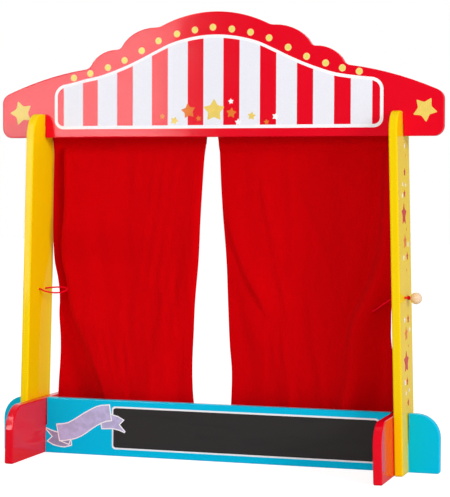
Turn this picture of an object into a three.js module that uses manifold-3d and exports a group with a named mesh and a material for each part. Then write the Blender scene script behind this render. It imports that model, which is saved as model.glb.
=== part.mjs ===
// A table-top puppet theatre that slots together from painted boards: a wavy header, a base board with
// a chalkboard, two posts and two feet, with a pair of curtains on a rod and a corded bead at each post.
// Millimetres. +X runs to the viewer's right, +Y away from the viewer and +Z up. The origin lies on the
// floor, midway between the posts and under the middle of the feet. While the pieces are made, depths are
// counted from the front faces of the header and the base board.
import * as THREE from "three";
import { mergeVertices } from "three/addons/utils/BufferGeometryUtils.js";
import Module from "manifold-3d";

const wasm = await Module();
wasm.setup();

// Boards and how they fit
const boardThickness = 11;
const edgeRadius = 1.5;
const play = 0.3;
const slotPlay = 0.6;
const overrun = 5;
const easeSteps = 2;
const arcSteps = 4;
const curveSteps = 7;

// Base board and its chalkboard
const baseLength = 597;
const baseHeight = 74.5;
const baseTopRadius = 30;
const floorCornerRadius = 3;
const chalkLeftMargin = 97.5;
const chalkRightMargin = 17.5;
const chalkHeight = 52.6;
const chalkThickness = 0.6;
const chalkRadius = 3.5;
const chalkCentreZ = 37.8;

// Posts, which lean in towards each other
const postThickness = 10.7;
const postHeight = 454.6;
const postDepth = 74.7;
const postFrontReach = 36.5;
const postTopRadiusY = 25;
const postTopRadiusZ = 31;
const postEndInset = 49.5;
const postLean = THREE.MathUtils.degToRad(1.47);

// Feet, which stand against the posts' inner faces
const footThickness = 11.2;
const footDepth = 200;
const footFrontReach = 106;
const footTopRadius = 30;

// Header: its outline runs from the crown outwards over two humps to a long shoulder
const headerOverhang = 51.2;
const headerDropFromPostTop = 31.25;
const headerNotchHeight = 15.7;
const crownRise = 162.3;
const crownHalfWidth = 75.5;
const crownSag = 18.8;
const middleHumpWidth = 55.5;
const middleHumpDrop = 28;
const outerHumpWidth = 43.5;
const outerHumpDrop = 24;
const headerEndRise = 58.8;
const headerEndRadius = 13;
const valleyRadius = 5;
const valleyShares = { shoulder: 0.25, across: 0.5, up: 0.7 };
const humpTopShares = { across: 0.42, down: -0.02 };
const humpSideShares = { across: 0.8, down: 0.3 };
const shoulderShares = { across: 0.52, down: 0.42 };
const endCornerShares = { across: 0.7, down: 0.33 };

// Curtain rod
const rodRadius = 4;
const rodY = 26.5;
const rodAboveHeaderBottom = 6.8;
const rodHoleDepth = 7;
const rodHolePlay = 0.5;
const rodSides = 24;

// Curtains: cloth on a sewn casing, with a doubled hem down each leading edge
const clothThickness = 1.2;
const casingPlay = 0.4;
const casingSeamDrop = 14;
const casingSeamHeight = 3;
const curtainBottomZ = 40;
const curtainPostGap = 1.2;
const leftCurtainOpening = 19.3;
const rightCurtainOpening = -2;
const hemWidth = 12;
const foldDepth = 5;
const foldStartShare = 0.14;
const foldEndShare = 0.1;
const curtainColumns = 34;
const hemColumns = 3;
const curtainRows = 14;

// Tie cords, each a loop through two holes of a post with its ends knotted at a bead
const cordRadius = 1;
const cordSides = 8;
const cordSteps = 64;
const strandShares = { leave: 0.35, rise: 0.2, bend: 0.3 };
const cordHolePlay = 0.5;
const cordHoleZ = 221;
const cordHoleSides = 16;
const frontCordHoleY = -7;
const rearCordHoleY = 14;

// Beads and knots
const beadRadius = 7.5;
const beadBoreRadius = 2;
const beadBoreDepth = 9;
const beadY = 8;
const beadSag = 1.5;
const beadSteps = 12;
const beadSides = 24;
const knotLength = 3.6;
const knotRadius = 2.4;
const knotStemRadius = 1.6;
const knotStemLength = 7.5;
const knotSteps = 6;
const knotSides = 16;
const knotPostGap = 0.5;

// Finishes
const redPaint = { color: 0xe4001f, roughness: 0.18, metalness: 0 };
const yellowPaint = { color: 0xf5d21a, roughness: 0.18, metalness: 0 };
const bluePaint = { color: 0x00b9d8, roughness: 0.2, metalness: 0 };
const chalkPaint = { color: 0x2d2a2a, roughness: 0.9, metalness: 0 };
const beech = { color: 0xf6d6ae, roughness: 0.45, metalness: 0 };
const redCloth = { color: 0xbe0008, roughness: 0.95, metalness: 0 };
const redCord = { color: 0xc80018, roughness: 0.8, metalness: 0 };

// Directions in which a flat outline is stood up: facing the viewer, or facing sideways
const facingFront = new THREE.Matrix4().makeBasis(
  new THREE.Vector3(1, 0, 0),
  new THREE.Vector3(0, 0, 1),
  new THREE.Vector3(0, -1, 0),
);
const facingSide = new THREE.Matrix4().makeBasis(
  new THREE.Vector3(0, 1, 0),
  new THREE.Vector3(0, 0, 1),
  new THREE.Vector3(1, 0, 0),
);

// A closed geometry as a solid that can be cut and joined
function toSolid(geometry) {
  const bare = geometry.clone();
  bare.deleteAttribute("normal");
  bare.deleteAttribute("uv");
  const merged = mergeVertices(bare);
  return new wasm.Manifold(
    new wasm.Mesh({
      numProp: 3,
      vertProperties: merged.attributes.position.array,
      triVerts: new Uint32Array(merged.index.array),
    }),
  );
}

// A cut or joined solid as a geometry again
function toGeometry(solid) {
  const mesh = solid.getMesh();
  const geometry = new THREE.BufferGeometry();
  geometry.setAttribute("position", new THREE.BufferAttribute(mesh.vertProperties, mesh.numProp));
  geometry.setIndex(new THREE.BufferAttribute(mesh.triVerts, 1));
  geometry.computeVertexNormals();
  return geometry;
}

function cut(geometry, cutters) {
  const solid = cutters.reduce((rest, cutter) => rest.subtract(toSolid(cutter)), toSolid(geometry));
  return toGeometry(solid);
}

function join(first, second) {
  return toGeometry(toSolid(first).add(toSolid(second)));
}

function boxBetween(low, high) {
  const size = new THREE.Vector3().subVectors(high, low);
  const middle = new THREE.Vector3().addVectors(low, high).multiplyScalar(0.5);
  return new THREE.BoxGeometry(size.x, size.y, size.z).translate(middle.x, middle.y, middle.z);
}

// An upright rectangle on the line y = 0, with round corners above and below
function uprightPanel(width, height, topRadius, bottomRadius) {
  const half = width / 2;
  const quarter = Math.PI / 2;
  const shape = new THREE.Shape();
  shape.moveTo(half, bottomRadius);
  shape.absarc(half - topRadius, height - topRadius, topRadius, 0, quarter);
  shape.absarc(topRadius - half, height - topRadius, topRadius, quarter, 2 * quarter);
  shape.absarc(bottomRadius - half, bottomRadius, bottomRadius, 2 * quarter, 3 * quarter);
  shape.absarc(half - bottomRadius, bottomRadius, bottomRadius, 3 * quarter, 4 * quarter);
  return shape;
}

// A board of an outline, from 0 to its thickness, with its long edges rounded over
function easedBoard(shape, thickness, easing) {
  return new THREE.ExtrudeGeometry(shape, {
    depth: thickness - 2 * easing,
    bevelThickness: easing,
    bevelSize: easing,
    bevelOffset: -easing,
    bevelSegments: easeSteps,
    curveSegments: arcSteps,
  }).translate(0, 0, easing);
}

// Where the leaning faces stand at a height, measured from the middle of the theatre. On the floor the
// posts stand at a set distance from the ends of the base board.
const postInnerX = baseLength / 2 - postEndInset;
const leanSlope = Math.tan(postLean);
const postInnerAt = (z) => postInnerX - z * leanSlope;
const postOuterAt = (z) => postInnerAt(z) + postThickness / Math.cos(postLean);
const footInnerAt = (z) => postInnerAt(z) - (play + footThickness) / Math.cos(postLean);

// The header sits a set distance below the posts' tops, and the rod just behind its bottom edge
const headerBottomZ = postHeight * Math.cos(postLean) - headerDropFromPostTop;
const rodZ = headerBottomZ + rodAboveHeaderBottom;

// A height in the room as a height on a leaning board, at the middle of the post's thickness
const heightOnPost = (z) => (z - (postThickness / 2) * Math.sin(postLean)) / Math.cos(postLean);

const postCentreY = postDepth / 2 - postFrontReach;
const footCentreY = footDepth / 2 - footFrontReach;
const baseHalvingZ = baseHeight / 2;
const headerHalvingZ = headerBottomZ + headerNotchHeight;
const headerHalfLength = postOuterAt(headerBottomZ) + headerOverhang;

// Base board, with a slot from above at each end for a foot and a post side by side
function baseBoardGeometry() {
  const outline = uprightPanel(baseLength, baseHeight, baseTopRadius, floorCornerRadius);
  const board = easedBoard(outline, boardThickness, edgeRadius)
    .applyMatrix4(facingFront)
    .translate(0, boardThickness, 0);
  const slots = [-1, 1].map((side) => {
    const inner = side * (footInnerAt(baseHeight) - slotPlay);
    const outer = side * (postOuterAt(baseHalvingZ) + slotPlay);
    return boxBetween(
      new THREE.Vector3(Math.min(inner, outer), -overrun, baseHalvingZ),
      new THREE.Vector3(Math.max(inner, outer), boardThickness + overrun, baseHeight + overrun),
    );
  });
  return cut(board, slots);
}

// Chalkboard sheet, flat on the front of the base board between margins to the two feet
function chalkboardGeometry() {
  const footX = footInnerAt(chalkCentreZ);
  const leftX = chalkLeftMargin - footX;
  const rightX = footX - chalkRightMargin;
  const outline = uprightPanel(rightX - leftX, chalkHeight, chalkRadius, chalkRadius);
  return new THREE.ExtrudeGeometry(outline, {
    depth: chalkThickness,
    bevelEnabled: false,
    curveSegments: arcSteps,
  })
    .applyMatrix4(facingFront)
    .translate((leftX + rightX) / 2, 0, chalkCentreZ - chalkHeight / 2);
}

// Right half of the header's outline, from the middle of its bottom edge round to its crown
function headerHalfOutline() {
  const half = headerHalfLength;
  const crownRadius = (crownHalfWidth ** 2 + crownSag ** 2) / (2 * crownSag);
  const crownAngle = Math.asin((crownHalfWidth - valleyRadius) / crownRadius);
  const middle = { x: crownHalfWidth, y: crownRise - crownSag };
  const outer = { x: middle.x + middleHumpWidth, y: middle.y - middleHumpDrop };
  const shoulder = { x: outer.x + outerHumpWidth, y: outer.y - outerHumpDrop };
  const path = new THREE.Path();
  path.moveTo(0, 0);
  path.lineTo(half - headerEndRadius, 0);
  path.absarc(half - headerEndRadius, headerEndRadius, headerEndRadius, -Math.PI / 2, 0);
  path.lineTo(half, headerEndRise - headerEndRadius);
  path.quadraticCurveTo(
    half,
    headerEndRise - headerEndRadius * endCornerShares.down,
    half - headerEndRadius * endCornerShares.across,
    headerEndRise,
  );
  path.quadraticCurveTo(
    half + (shoulder.x - half) * shoulderShares.across,
    headerEndRise + (shoulder.y - headerEndRise) * (1 - shoulderShares.down) + valleyRadius,
    shoulder.x + valleyRadius,
    shoulder.y - valleyRadius * valleyShares.shoulder,
  );
  // Each valley is rounded, and each hump rises steeply and rolls over into the next valley
  const humps = [
    { low: shoulder, top: outer },
    { low: outer, top: middle },
  ];
  for (const { low, top } of humps) {
    const across = low.x - top.x;
    const drop = top.y - low.y;
    path.quadraticCurveTo(
      low.x,
      low.y,
      low.x - valleyRadius * valleyShares.across,
      low.y + valleyRadius * valleyShares.up,
    );
    path.bezierCurveTo(
      top.x + across * humpSideShares.across,
      top.y - drop * humpSideShares.down,
      top.x + across * humpTopShares.across,
      top.y - drop * humpTopShares.down,
      top.x + valleyRadius,
      top.y,
    );
  }
  path.quadraticCurveTo(
    middle.x,
    middle.y,
    crownRadius * Math.sin(crownAngle),
    crownRise - crownRadius * (1 - Math.cos(crownAngle)),
  );
  path.absarc(0, crownRise - crownRadius, crownRadius, Math.PI / 2 - crownAngle, Math.PI / 2);
  return path.getPoints(curveSteps);
}

// Header, with a notch from below over each post
function headerGeometry() {
  const right = headerHalfOutline();
  const left = right
    .slice(1, -1)
    .reverse()
    .map((point) => new THREE.Vector2(-point.x, point.y));
  const board = easedBoard(new THREE.Shape([...right, ...left]), boardThickness, edgeRadius)
    .applyMatrix4(facingFront)
    .translate(0, boardThickness, headerBottomZ);
  const notches = [-1, 1].map((side) => {
    const inner = side * (postInnerAt(headerHalvingZ) - slotPlay);
    const outer = side * (postOuterAt(headerBottomZ) + slotPlay);
    return boxBetween(
      new THREE.Vector3(Math.min(inner, outer), -overrun, headerBottomZ - overrun),
      new THREE.Vector3(Math.max(inner, outer), boardThickness + overrun, headerHalvingZ),
    );
  });
  return cut(board, notches);
}

// A round bore into a sideways board, between two places on the line of its thickness
function sideBore(radius, y, z, fromX, toX, sides) {
  return new THREE.CylinderGeometry(radius, radius, toX - fromX, sides)
    .rotateZ(Math.PI / 2)
    .translate((fromX + toX) / 2, y, z);
}

// A slot across a sideways board for the base board or the header
function crossSlot(thickness, fromZ, toZ) {
  return boxBetween(
    new THREE.Vector3(-overrun, -play, fromZ),
    new THREE.Vector3(thickness + overrun, boardThickness + play, toZ),
  );
}

// Post: straddles the base board, holds the header between two tongues and carries rod and cord. Its
// cord holes go right through, and its rod hole is a blind one in the face towards the stage.
function postGeometry(side) {
  const half = postDepth / 2;
  const quarter = Math.PI / 2;
  const outline = new THREE.Shape();
  const topZ = postHeight - postTopRadiusZ;
  outline.moveTo(half, floorCornerRadius);
  outline.lineTo(half, topZ);
  outline.absellipse(half - postTopRadiusY, topZ, postTopRadiusY, postTopRadiusZ, 0, quarter);
  outline.absellipse(postTopRadiusY - half, topZ, postTopRadiusY, postTopRadiusZ, quarter, 2 * quarter);
  outline.absarc(floorCornerRadius - half, floorCornerRadius, floorCornerRadius, 2 * quarter, 3 * quarter);
  outline.absarc(half - floorCornerRadius, floorCornerRadius, floorCornerRadius, 3 * quarter, 4 * quarter);
  const board = easedBoard(outline, postThickness, edgeRadius)
    .applyMatrix4(facingSide)
    .translate(0, postCentreY, 0);
  const [rodHoleFrom, rodHoleTo] =
    side < 0 ? [postThickness - rodHoleDepth, postThickness + overrun] : [-overrun, rodHoleDepth];
  const cordHoles = [frontCordHoleY, rearCordHoleY].map((y) => {
    const radius = cordRadius + cordHolePlay;
    return sideBore(radius, y, heightOnPost(cordHoleZ), -overrun, postThickness + overrun, cordHoleSides);
  });
  return cut(board, [
    crossSlot(postThickness, -overrun, baseHalvingZ + play),
    crossSlot(postThickness, heightOnPost(headerHalvingZ) - play, postHeight + overrun),
    sideBore(rodRadius + rodHolePlay, rodY, heightOnPost(rodZ), rodHoleFrom, rodHoleTo, rodSides),
    ...cordHoles,
  ]);
}

// Foot: a long low board that straddles the base board
function footGeometry() {
  const outline = uprightPanel(footDepth, baseHeight, footTopRadius, floorCornerRadius);
  const board = easedBoard(outline, footThickness, edgeRadius)
    .applyMatrix4(facingSide)
    .translate(0, footCentreY, 0);
  return cut(board, [crossSlot(footThickness, -overrun, baseHalvingZ + play)]);
}

// Rod between the posts, its ends in their blind holes
function rodGeometry() {
  const length = 2 * (postInnerAt(rodZ) + rodHoleDepth - 2 * play);
  return new THREE.CylinderGeometry(rodRadius, rodRadius, length, rodSides)
    .rotateZ(Math.PI / 2)
    .translate(0, rodY, rodZ);
}

// How far each curtain's two edges stray from plumb on the way down, as shares of the drop and, across,
// of the curtain's width. Inwards is positive for the post side, and outwards for the leading edge.
const leftPostEdgeShares = [
  [0, 0], [0.2, -0.009], [0.34, -0.012], [0.42, -0.004], [0.48, 0.016], [0.54, 0.026],
  [0.64, 0.031], [0.76, 0.034], [0.86, 0.024], [0.93, 0.019], [1, 0.018],
];
const leftLeadingEdgeShares = [
  [0, 0], [0.21, 0.028], [0.42, 0.048], [0.63, 0.066],
  [0.76, 0.077], [0.86, 0.073], [0.93, 0.062], [1, 0.058],
];
const rightPostEdgeShares = [
  [0, 0], [0.2, -0.006], [0.34, -0.004], [0.44, 0.014], [0.54, 0.035], [0.64, 0.039],
  [0.72, 0.034], [0.8, 0.022], [0.9, 0.016], [1, 0.016],
];
const rightLeadingEdgeShares = [
  [0, 0], [0.14, 0.01], [0.21, 0.017], [0.42, 0.044], [0.54, 0.052], [0.7, 0.064],
  [0.8, 0.077], [0.93, 0.073], [1, 0.07],
];

// A slow swell in both curtains: waves across the width, each drifting towards the leading edge
const swellShares = [
  { waves: 2.2, depth: 0.2, drift: 0.1, start: 0.1 },
  { waves: 5.6, depth: 0.08, drift: -0.05, start: 0.45 },
];

// The folds of each curtain: the route down the cloth as [down, across], how far the fold spreads to each
// side of its route, across, and its depth, which is below zero where the fold stands out to the front
const leftFoldShares = [
  { depth: 0.8, spread: 0.055, route: [[0, 0.075], [0.15, 0.1], [0.28, 0.13], [0.42, 0.15]] },
  {
    depth: 0.9,
    spread: 0.05,
    route: [[0.25, 0.04], [0.4, 0.05], [0.55, 0.1], [0.7, 0.2], [0.8, 0.3], [0.88, 0.38], [1, 0.44]],
  },
  { depth: 0.5, spread: 0.07, route: [[0, 0.91], [0.13, 0.88], [0.26, 0.86], [0.4, 0.83], [0.58, 0.8]] },
  { depth: 0.5, spread: 0.06, route: [[0.5, 0.7], [0.65, 0.73], [0.8, 0.7], [0.9, 0.66], [1, 0.63]] },
  { depth: -0.35, spread: 0.06, route: [[0.6, 0.8], [0.75, 0.8], [0.88, 0.78], [1, 0.75]] },
];
const rightFoldShares = [
  { depth: 0.7, spread: 0.035, route: [[0.24, 0.97], [0.35, 0.94], [0.44, 0.89], [0.5, 0.82], [0.58, 0.75]] },
  { depth: 0.35, spread: 0.035, route: [[0.12, 0.76], [0.3, 0.74], [0.38, 0.7], [0.5, 0.62], [0.62, 0.58]] },
  {
    depth: -0.45,
    spread: 0.035,
    route: [[0.36, 0.36], [0.46, 0.34], [0.54, 0.28], [0.64, 0.23], [0.72, 0.2]],
  },
  { depth: 0.5, spread: 0.04, route: [[0.14, 0.11], [0.24, 0.14], [0.33, 0.16], [0.42, 0.15], [0.5, 0.14]] },
  {
    depth: 0.9,
    spread: 0.09,
    route: [[0.34, 0.08], [0.46, 0.13], [0.58, 0.17], [0.72, 0.2], [0.86, 0.26], [1, 0.3]],
  },
  { depth: -0.4, spread: 0.07, route: [[0.6, 0.08], [0.75, 0.1], [0.88, 0.13], [1, 0.16]] },
];
const foldDepthAtTopShare = 0.12;

const casingSeamZ = rodZ - casingSeamDrop;
const curtainDrop = casingSeamZ - curtainBottomZ;

// A smooth curve through listed places, each a share of the drop and what the curve is there
function curveDown(shares) {
  const downs = shares.map(([down]) => down);
  const values = shares.map(([, value]) => value);
  const curve = new THREE.CubicInterpolant(downs, values, 1);
  return (down) => curve.evaluate(THREE.MathUtils.clamp(down, downs[0], downs[downs.length - 1]))[0];
}

// How deep one fold lies at a place on the cloth: a bell across its route that fades out at both ends
function foldAt({ depth, spread, route }) {
  const acrossAt = curveDown(route);
  const [top, bottom] = [route[0][0], route[route.length - 1][0]];
  return (across, down) => {
    const fadeIn = THREE.MathUtils.smoothstep(down, top - foldEndShare, top + foldEndShare);
    const fadeOut = 1 - THREE.MathUtils.smoothstep(down, bottom - foldEndShare, bottom + foldEndShare);
    const aside = (across - acrossAt(down)) / spread;
    return depth * fadeIn * (bottom < 1 ? fadeOut : 1) * Math.exp(-(aside ** 2));
  };
}

// The middle of a curtain's cloth: across runs from the post to the leading edge, down from seam to hem.
// The opening is how far from the middle of the stage the leading edge hangs at its top.
function curtainPlan(side, opening, postEdge, leadingEdge, folds) {
  const topX = postInnerAt(rodZ) - curtainPostGap;
  const width = topX - opening;
  const postStray = curveDown(postEdge);
  const leadingStray = curveDown(leadingEdge);
  const foldDepths = folds.map(foldAt);
  const postX = (down) => side * (topX - width * postStray(down));
  const leadingX = (down) => side * (topX - width * (1 - leadingStray(down)));
  const foldY = (across, down) => {
    const swell = swellShares.reduce((sum, { waves, depth, drift, start }) => {
      return sum + depth * Math.sin(2 * Math.PI * (waves * (across + drift * down) + start));
    }, 0);
    const folded = foldDepths.reduce((sum, depthAt) => sum + depthAt(across, down), 0);
    const growth = THREE.MathUtils.lerp(foldDepthAtTopShare, 1, Math.sqrt(down));
    const start = THREE.MathUtils.smoothstep(down, 0, foldStartShare);
    return rodY + foldDepth * start * (growth * swell + folded);
  };
  return { side, postX, leadingX, foldY };
}

const leftPlan = curtainPlan(
  -1,
  leftCurtainOpening,
  leftPostEdgeShares,
  leftLeadingEdgeShares,
  leftFoldShares,
);
const rightPlan = curtainPlan(
  1,
  rightCurtainOpening,
  rightPostEdgeShares,
  rightLeadingEdgeShares,
  rightFoldShares,
);

// A closed sheet of cloth between two edges that are given as functions of the share of the drop
function clothGeometry(plan, fromX, toX, thickness, columns) {
  const positions = [];
  const index = [];
  const topZ = casingSeamZ + casingSeamHeight / 2;
  for (const face of [-1, 1]) {
    for (let row = 0; row <= curtainRows; row++) {
      const down = row / curtainRows;
      for (let column = 0; column <= columns; column++) {
        const x = THREE.MathUtils.lerp(fromX(down), toX(down), column / columns);
        const across = (x - plan.postX(down)) / (plan.leadingX(down) - plan.postX(down));
        const y = plan.foldY(across, down) + (face * thickness) / 2;
        positions.push(x, y, THREE.MathUtils.lerp(topZ, curtainBottomZ, down));
      }
    }
  }
  const at = (face, row, column) => (face * (curtainRows + 1) + row) * (columns + 1) + column;
  const quad = (a, b, c, d) => index.push(a, b, c, a, c, d);
  for (let row = 0; row < curtainRows; row++) {
    for (let column = 0; column < columns; column++) {
      quad(at(0, row, column), at(0, row + 1, column), at(0, row + 1, column + 1), at(0, row, column + 1));
      quad(at(1, row, column), at(1, row, column + 1), at(1, row + 1, column + 1), at(1, row + 1, column));
    }
    quad(at(0, row, 0), at(1, row, 0), at(1, row + 1, 0), at(0, row + 1, 0));
    quad(at(0, row, columns), at(0, row + 1, columns), at(1, row + 1, columns), at(1, row, columns));
  }
  for (let column = 0; column < columns; column++) {
    quad(at(0, 0, column), at(0, 0, column + 1), at(1, 0, column + 1), at(1, 0, column));
    const end = curtainRows;
    quad(at(0, end, column), at(1, end, column), at(1, end, column + 1), at(0, end, column + 1));
  }
  const geometry = new THREE.BufferGeometry();
  geometry.setAttribute("position", new THREE.Float32BufferAttribute(positions, 3));
  geometry.setIndex(index);
  return geometry;
}

// The casing: cloth carried over the rod and sewn to itself below it, a little short of the cloth's edges
function casingGeometry(plan, postSideX, leadingSideX, thickness) {
  const fromX = postSideX - plan.side * play;
  const toX = leadingSideX + plan.side * play;
  const innerRadius = rodRadius + casingPlay;
  const outerRadius = innerRadius + thickness;
  const outline = new THREE.Shape();
  outline.moveTo(outerRadius, 0);
  outline.absarc(0, 0, outerRadius, 0, Math.PI);
  outline.lineTo(-thickness, -casingSeamDrop);
  outline.lineTo(thickness, -casingSeamDrop);
  const bore = new THREE.Path();
  bore.moveTo(innerRadius, 0);
  bore.absarc(0, 0, innerRadius, 0, Math.PI);
  bore.lineTo(0, casingSeamHeight - casingSeamDrop);
  outline.holes.push(bore);
  const low = Math.min(fromX, toX);
  return new THREE.ExtrudeGeometry(outline, {
    depth: Math.abs(toX - fromX),
    bevelEnabled: false,
    curveSegments: curveSteps,
  })
    .applyMatrix4(facingSide)
    .translate(low, rodY, rodZ);
}

// A curtain without its leading hem, and the hem
function curtainGeometry(plan) {
  const endX = (down) => plan.leadingX(down) + plan.side * (hemWidth + play);
  const cloth = clothGeometry(plan, ...ordered(plan, plan.postX, endX), clothThickness, curtainColumns);
  return join(casingGeometry(plan, plan.postX(0), endX(0), clothThickness), cloth);
}

function hemGeometry(plan) {
  const startX = (down) => plan.leadingX(down) + plan.side * hemWidth;
  const cloth = clothGeometry(plan, ...ordered(plan, startX, plan.leadingX), 2 * clothThickness, hemColumns);
  return join(casingGeometry(plan, startX(0), plan.leadingX(0), clothThickness), cloth);
}

// Two edges from left to right, so that the cloth between them faces out on either side of the theatre
function ordered(plan, postSide, leadingSide) {
  return plan.side < 0 ? [postSide, leadingSide] : [leadingSide, postSide];
}

// Where the bead hangs beside its post
const beadZ = cordHoleZ - beadSag;
const postOuterAtBead = postOuterAt(beadZ);
const knotStartX = postOuterAtBead + knotPostGap;
const knotCentreX = knotStartX + knotLength / 2;
const beadCentreX = knotStartX + knotLength + play + Math.sqrt(beadRadius ** 2 - beadBoreRadius ** 2);

// A turned piece whose axis points out from the post
function turnedSideways(profile, sides, side) {
  return new THREE.LatheGeometry(profile, sides).rotateZ((-side * Math.PI) / 2);
}

// Bead with a blind bore that faces the post
function beadGeometry(side) {
  const boreFloor = beadBoreDepth - beadRadius;
  const rimAngle = Math.asin(beadBoreRadius / beadRadius);
  const profile = [new THREE.Vector2(0, boreFloor), new THREE.Vector2(beadBoreRadius, boreFloor)];
  for (let step = 0; step <= beadSteps; step++) {
    const angle = THREE.MathUtils.lerp(rimAngle, Math.PI, step / beadSteps);
    const radius = step === beadSteps ? 0 : beadRadius * Math.sin(angle);
    profile.push(new THREE.Vector2(radius, -beadRadius * Math.cos(angle)));
  }
  return turnedSideways(profile, beadSides, side);
}

// Knot where the cord's two ends meet, with a stem of cord that is glued into the bead
function knotGeometry(side) {
  const profile = [new THREE.Vector2(0, -knotLength / 2)];
  for (let step = 1; step < knotSteps; step++) {
    const angle = (Math.PI * step) / knotSteps;
    profile.push(
      new THREE.Vector2(knotRadius * Math.sin(angle), (-knotLength / 2) * Math.cos(angle)),
    );
  }
  profile.push(
    new THREE.Vector2(knotStemRadius, knotLength / 2),
    new THREE.Vector2(knotStemRadius, knotLength / 2 + knotStemLength),
    new THREE.Vector2(0, knotLength / 2 + knotStemLength),
  );
  return turnedSideways(profile, knotSides, side);
}

// Route of each cord's loop inside the stage, from the front hole round to the rear hole: how far it
// reaches in from the post, its depth, and how far it lies above the holes
const leftLoopRoute = [
  [7.3, -4.8, -3], [14.3, -1, -4.8], [21.3, 3.2, -5.4], [27.3, 8, -4.4], [30.8, 13, -2.4],
  [29.8, 18, -0.4], [24.6, 20.4, 0.8], [17, 19.4, 1.2], [9, 16.8, 0.8],
];
const rightLoopRoute = [
  [7.3, -5, -2.6], [15.3, -1.5, -7.6], [23.5, 2.8, -13.4], [30.2, 7.8, -17.6], [34.2, 13, -19.6],
  [33.4, 18.2, -18.8], [28.6, 20.6, -15.6], [21.6, 19.8, -10.8], [14, 17.4, -6], [6.5, 15.2, -2],
];

// A tie cord: from the knot through the front hole, round its loop and back through the rear hole
function tieCordGeometry(side, loopRoute) {
  const inner = postInnerAt(cordHoleZ);
  const outer = postOuterAt(cordHoleZ);
  const standOff = knotCentreX - outer;
  const through = (y) => [
    [side * (outer + standOff * strandShares.leave), y, cordHoleZ],
    [side * (outer - cordRadius), y, cordHoleZ],
    [side * (inner + cordRadius), y, cordHoleZ],
    [side * (inner - cordRadius), y, cordHoleZ],
  ];
  const knotReach = knotRadius + 2 * play;
  const strand = (holeY) => {
    const towards = Math.sign(holeY - beadY);
    const end = beadY + towards * knotReach;
    const middleX = knotCentreX + cordRadius * strandShares.rise;
    const bendX = knotCentreX - cordRadius * strandShares.bend;
    return [
      [side * knotCentreX, end, beadZ],
      [side * middleX, (end + holeY) / 2 - towards * cordRadius, beadZ + beadSag / 2],
      [side * bendX, holeY - towards * cordRadius, cordHoleZ],
    ];
  };
  const loop = loopRoute.map(([reach, y, above]) => [side * (inner - reach), y, cordHoleZ + above]);
  const points = [
    ...strand(frontCordHoleY),
    ...through(frontCordHoleY),
    ...loop,
    ...through(rearCordHoleY).reverse(),
    ...strand(rearCordHoleY).reverse(),
  ].map((point) => new THREE.Vector3(...point));
  const section = new THREE.Shape();
  section.absarc(0, 0, cordRadius, 0, 2 * Math.PI);
  const corners = section.getPoints(cordSides / 2).slice(0, -1);
  return new THREE.ExtrudeGeometry(new THREE.Shape(corners), {
    steps: cordSteps,
    bevelEnabled: false,
    extrudePath: new THREE.CatmullRomCurve3(points, false, "centripetal"),
  });
}

function piece(name, geometry, finish) {
  const mesh = new THREE.Mesh(geometry, new THREE.MeshStandardMaterial(finish));
  mesh.name = name;
  return mesh;
}

const theatre = new THREE.Group();
theatre.position.y = -footCentreY;
theatre.add(
  piece("base_board", baseBoardGeometry(), bluePaint),
  piece("chalkboard_panel", chalkboardGeometry(), chalkPaint),
  piece("header_board", headerGeometry(), redPaint),
  piece("curtain_rod", rodGeometry(), beech),
);

for (const [name, side] of [["left", -1], ["right", 1]]) {
  // Post and foot stand against each other and lean in together
  const pair = new THREE.Group();
  pair.position.x = side * postInnerX;
  pair.rotation.y = -side * postLean;
  const post = piece(name + "_post", postGeometry(side), yellowPaint);
  post.position.x = side < 0 ? -postThickness : 0;
  const foot = piece(name + "_foot", footGeometry(), redPaint);
  foot.position.x = side < 0 ? play : -play - footThickness;
  foot.position.z = (play + footThickness) * Math.tan(postLean);
  pair.add(post, foot);

  const plan = side < 0 ? leftPlan : rightPlan;
  const route = side < 0 ? leftLoopRoute : rightLoopRoute;
  const bead = piece(name + "_pull_bead", beadGeometry(side), beech);
  bead.position.set(side * beadCentreX, beadY, beadZ);
  const knot = piece(name + "_cord_knot", knotGeometry(side), redCord);
  knot.position.set(side * knotCentreX, beadY, beadZ);
  theatre.add(
    pair,
    piece(name + "_curtain", curtainGeometry(plan), redCloth),
    piece(name + "_curtain_hem", hemGeometry(plan), redCloth),
    piece(name + "_tie_cord", tieCordGeometry(side, route), redCord),
    bead,
    knot,
  );
}

export default theatre;
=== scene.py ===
import math
from types import SimpleNamespace

import bmesh
import bpy
import numpy as np
from mathutils import Matrix, Vector


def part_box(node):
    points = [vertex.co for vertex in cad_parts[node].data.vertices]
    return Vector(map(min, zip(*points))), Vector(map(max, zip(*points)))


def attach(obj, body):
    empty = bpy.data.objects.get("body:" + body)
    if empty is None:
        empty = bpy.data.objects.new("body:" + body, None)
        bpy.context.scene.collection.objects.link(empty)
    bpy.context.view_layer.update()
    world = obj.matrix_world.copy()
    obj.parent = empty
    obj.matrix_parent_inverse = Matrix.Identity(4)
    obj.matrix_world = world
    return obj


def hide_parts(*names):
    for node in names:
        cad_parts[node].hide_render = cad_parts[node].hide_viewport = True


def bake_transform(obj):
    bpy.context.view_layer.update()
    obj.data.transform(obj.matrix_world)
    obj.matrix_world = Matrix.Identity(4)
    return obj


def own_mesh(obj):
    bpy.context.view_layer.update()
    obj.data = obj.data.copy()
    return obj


bl_info = {
    "name": "Puppet theatre",
    "version": (1, 0, 0),
    "blender": (4, 5, 0),
    "location": "3D View > Sidebar > Puppet theatre",
    "description": "Paints, prints, hangs and threads a slotted puppet theatre",
    "category": "Object",
}

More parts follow.
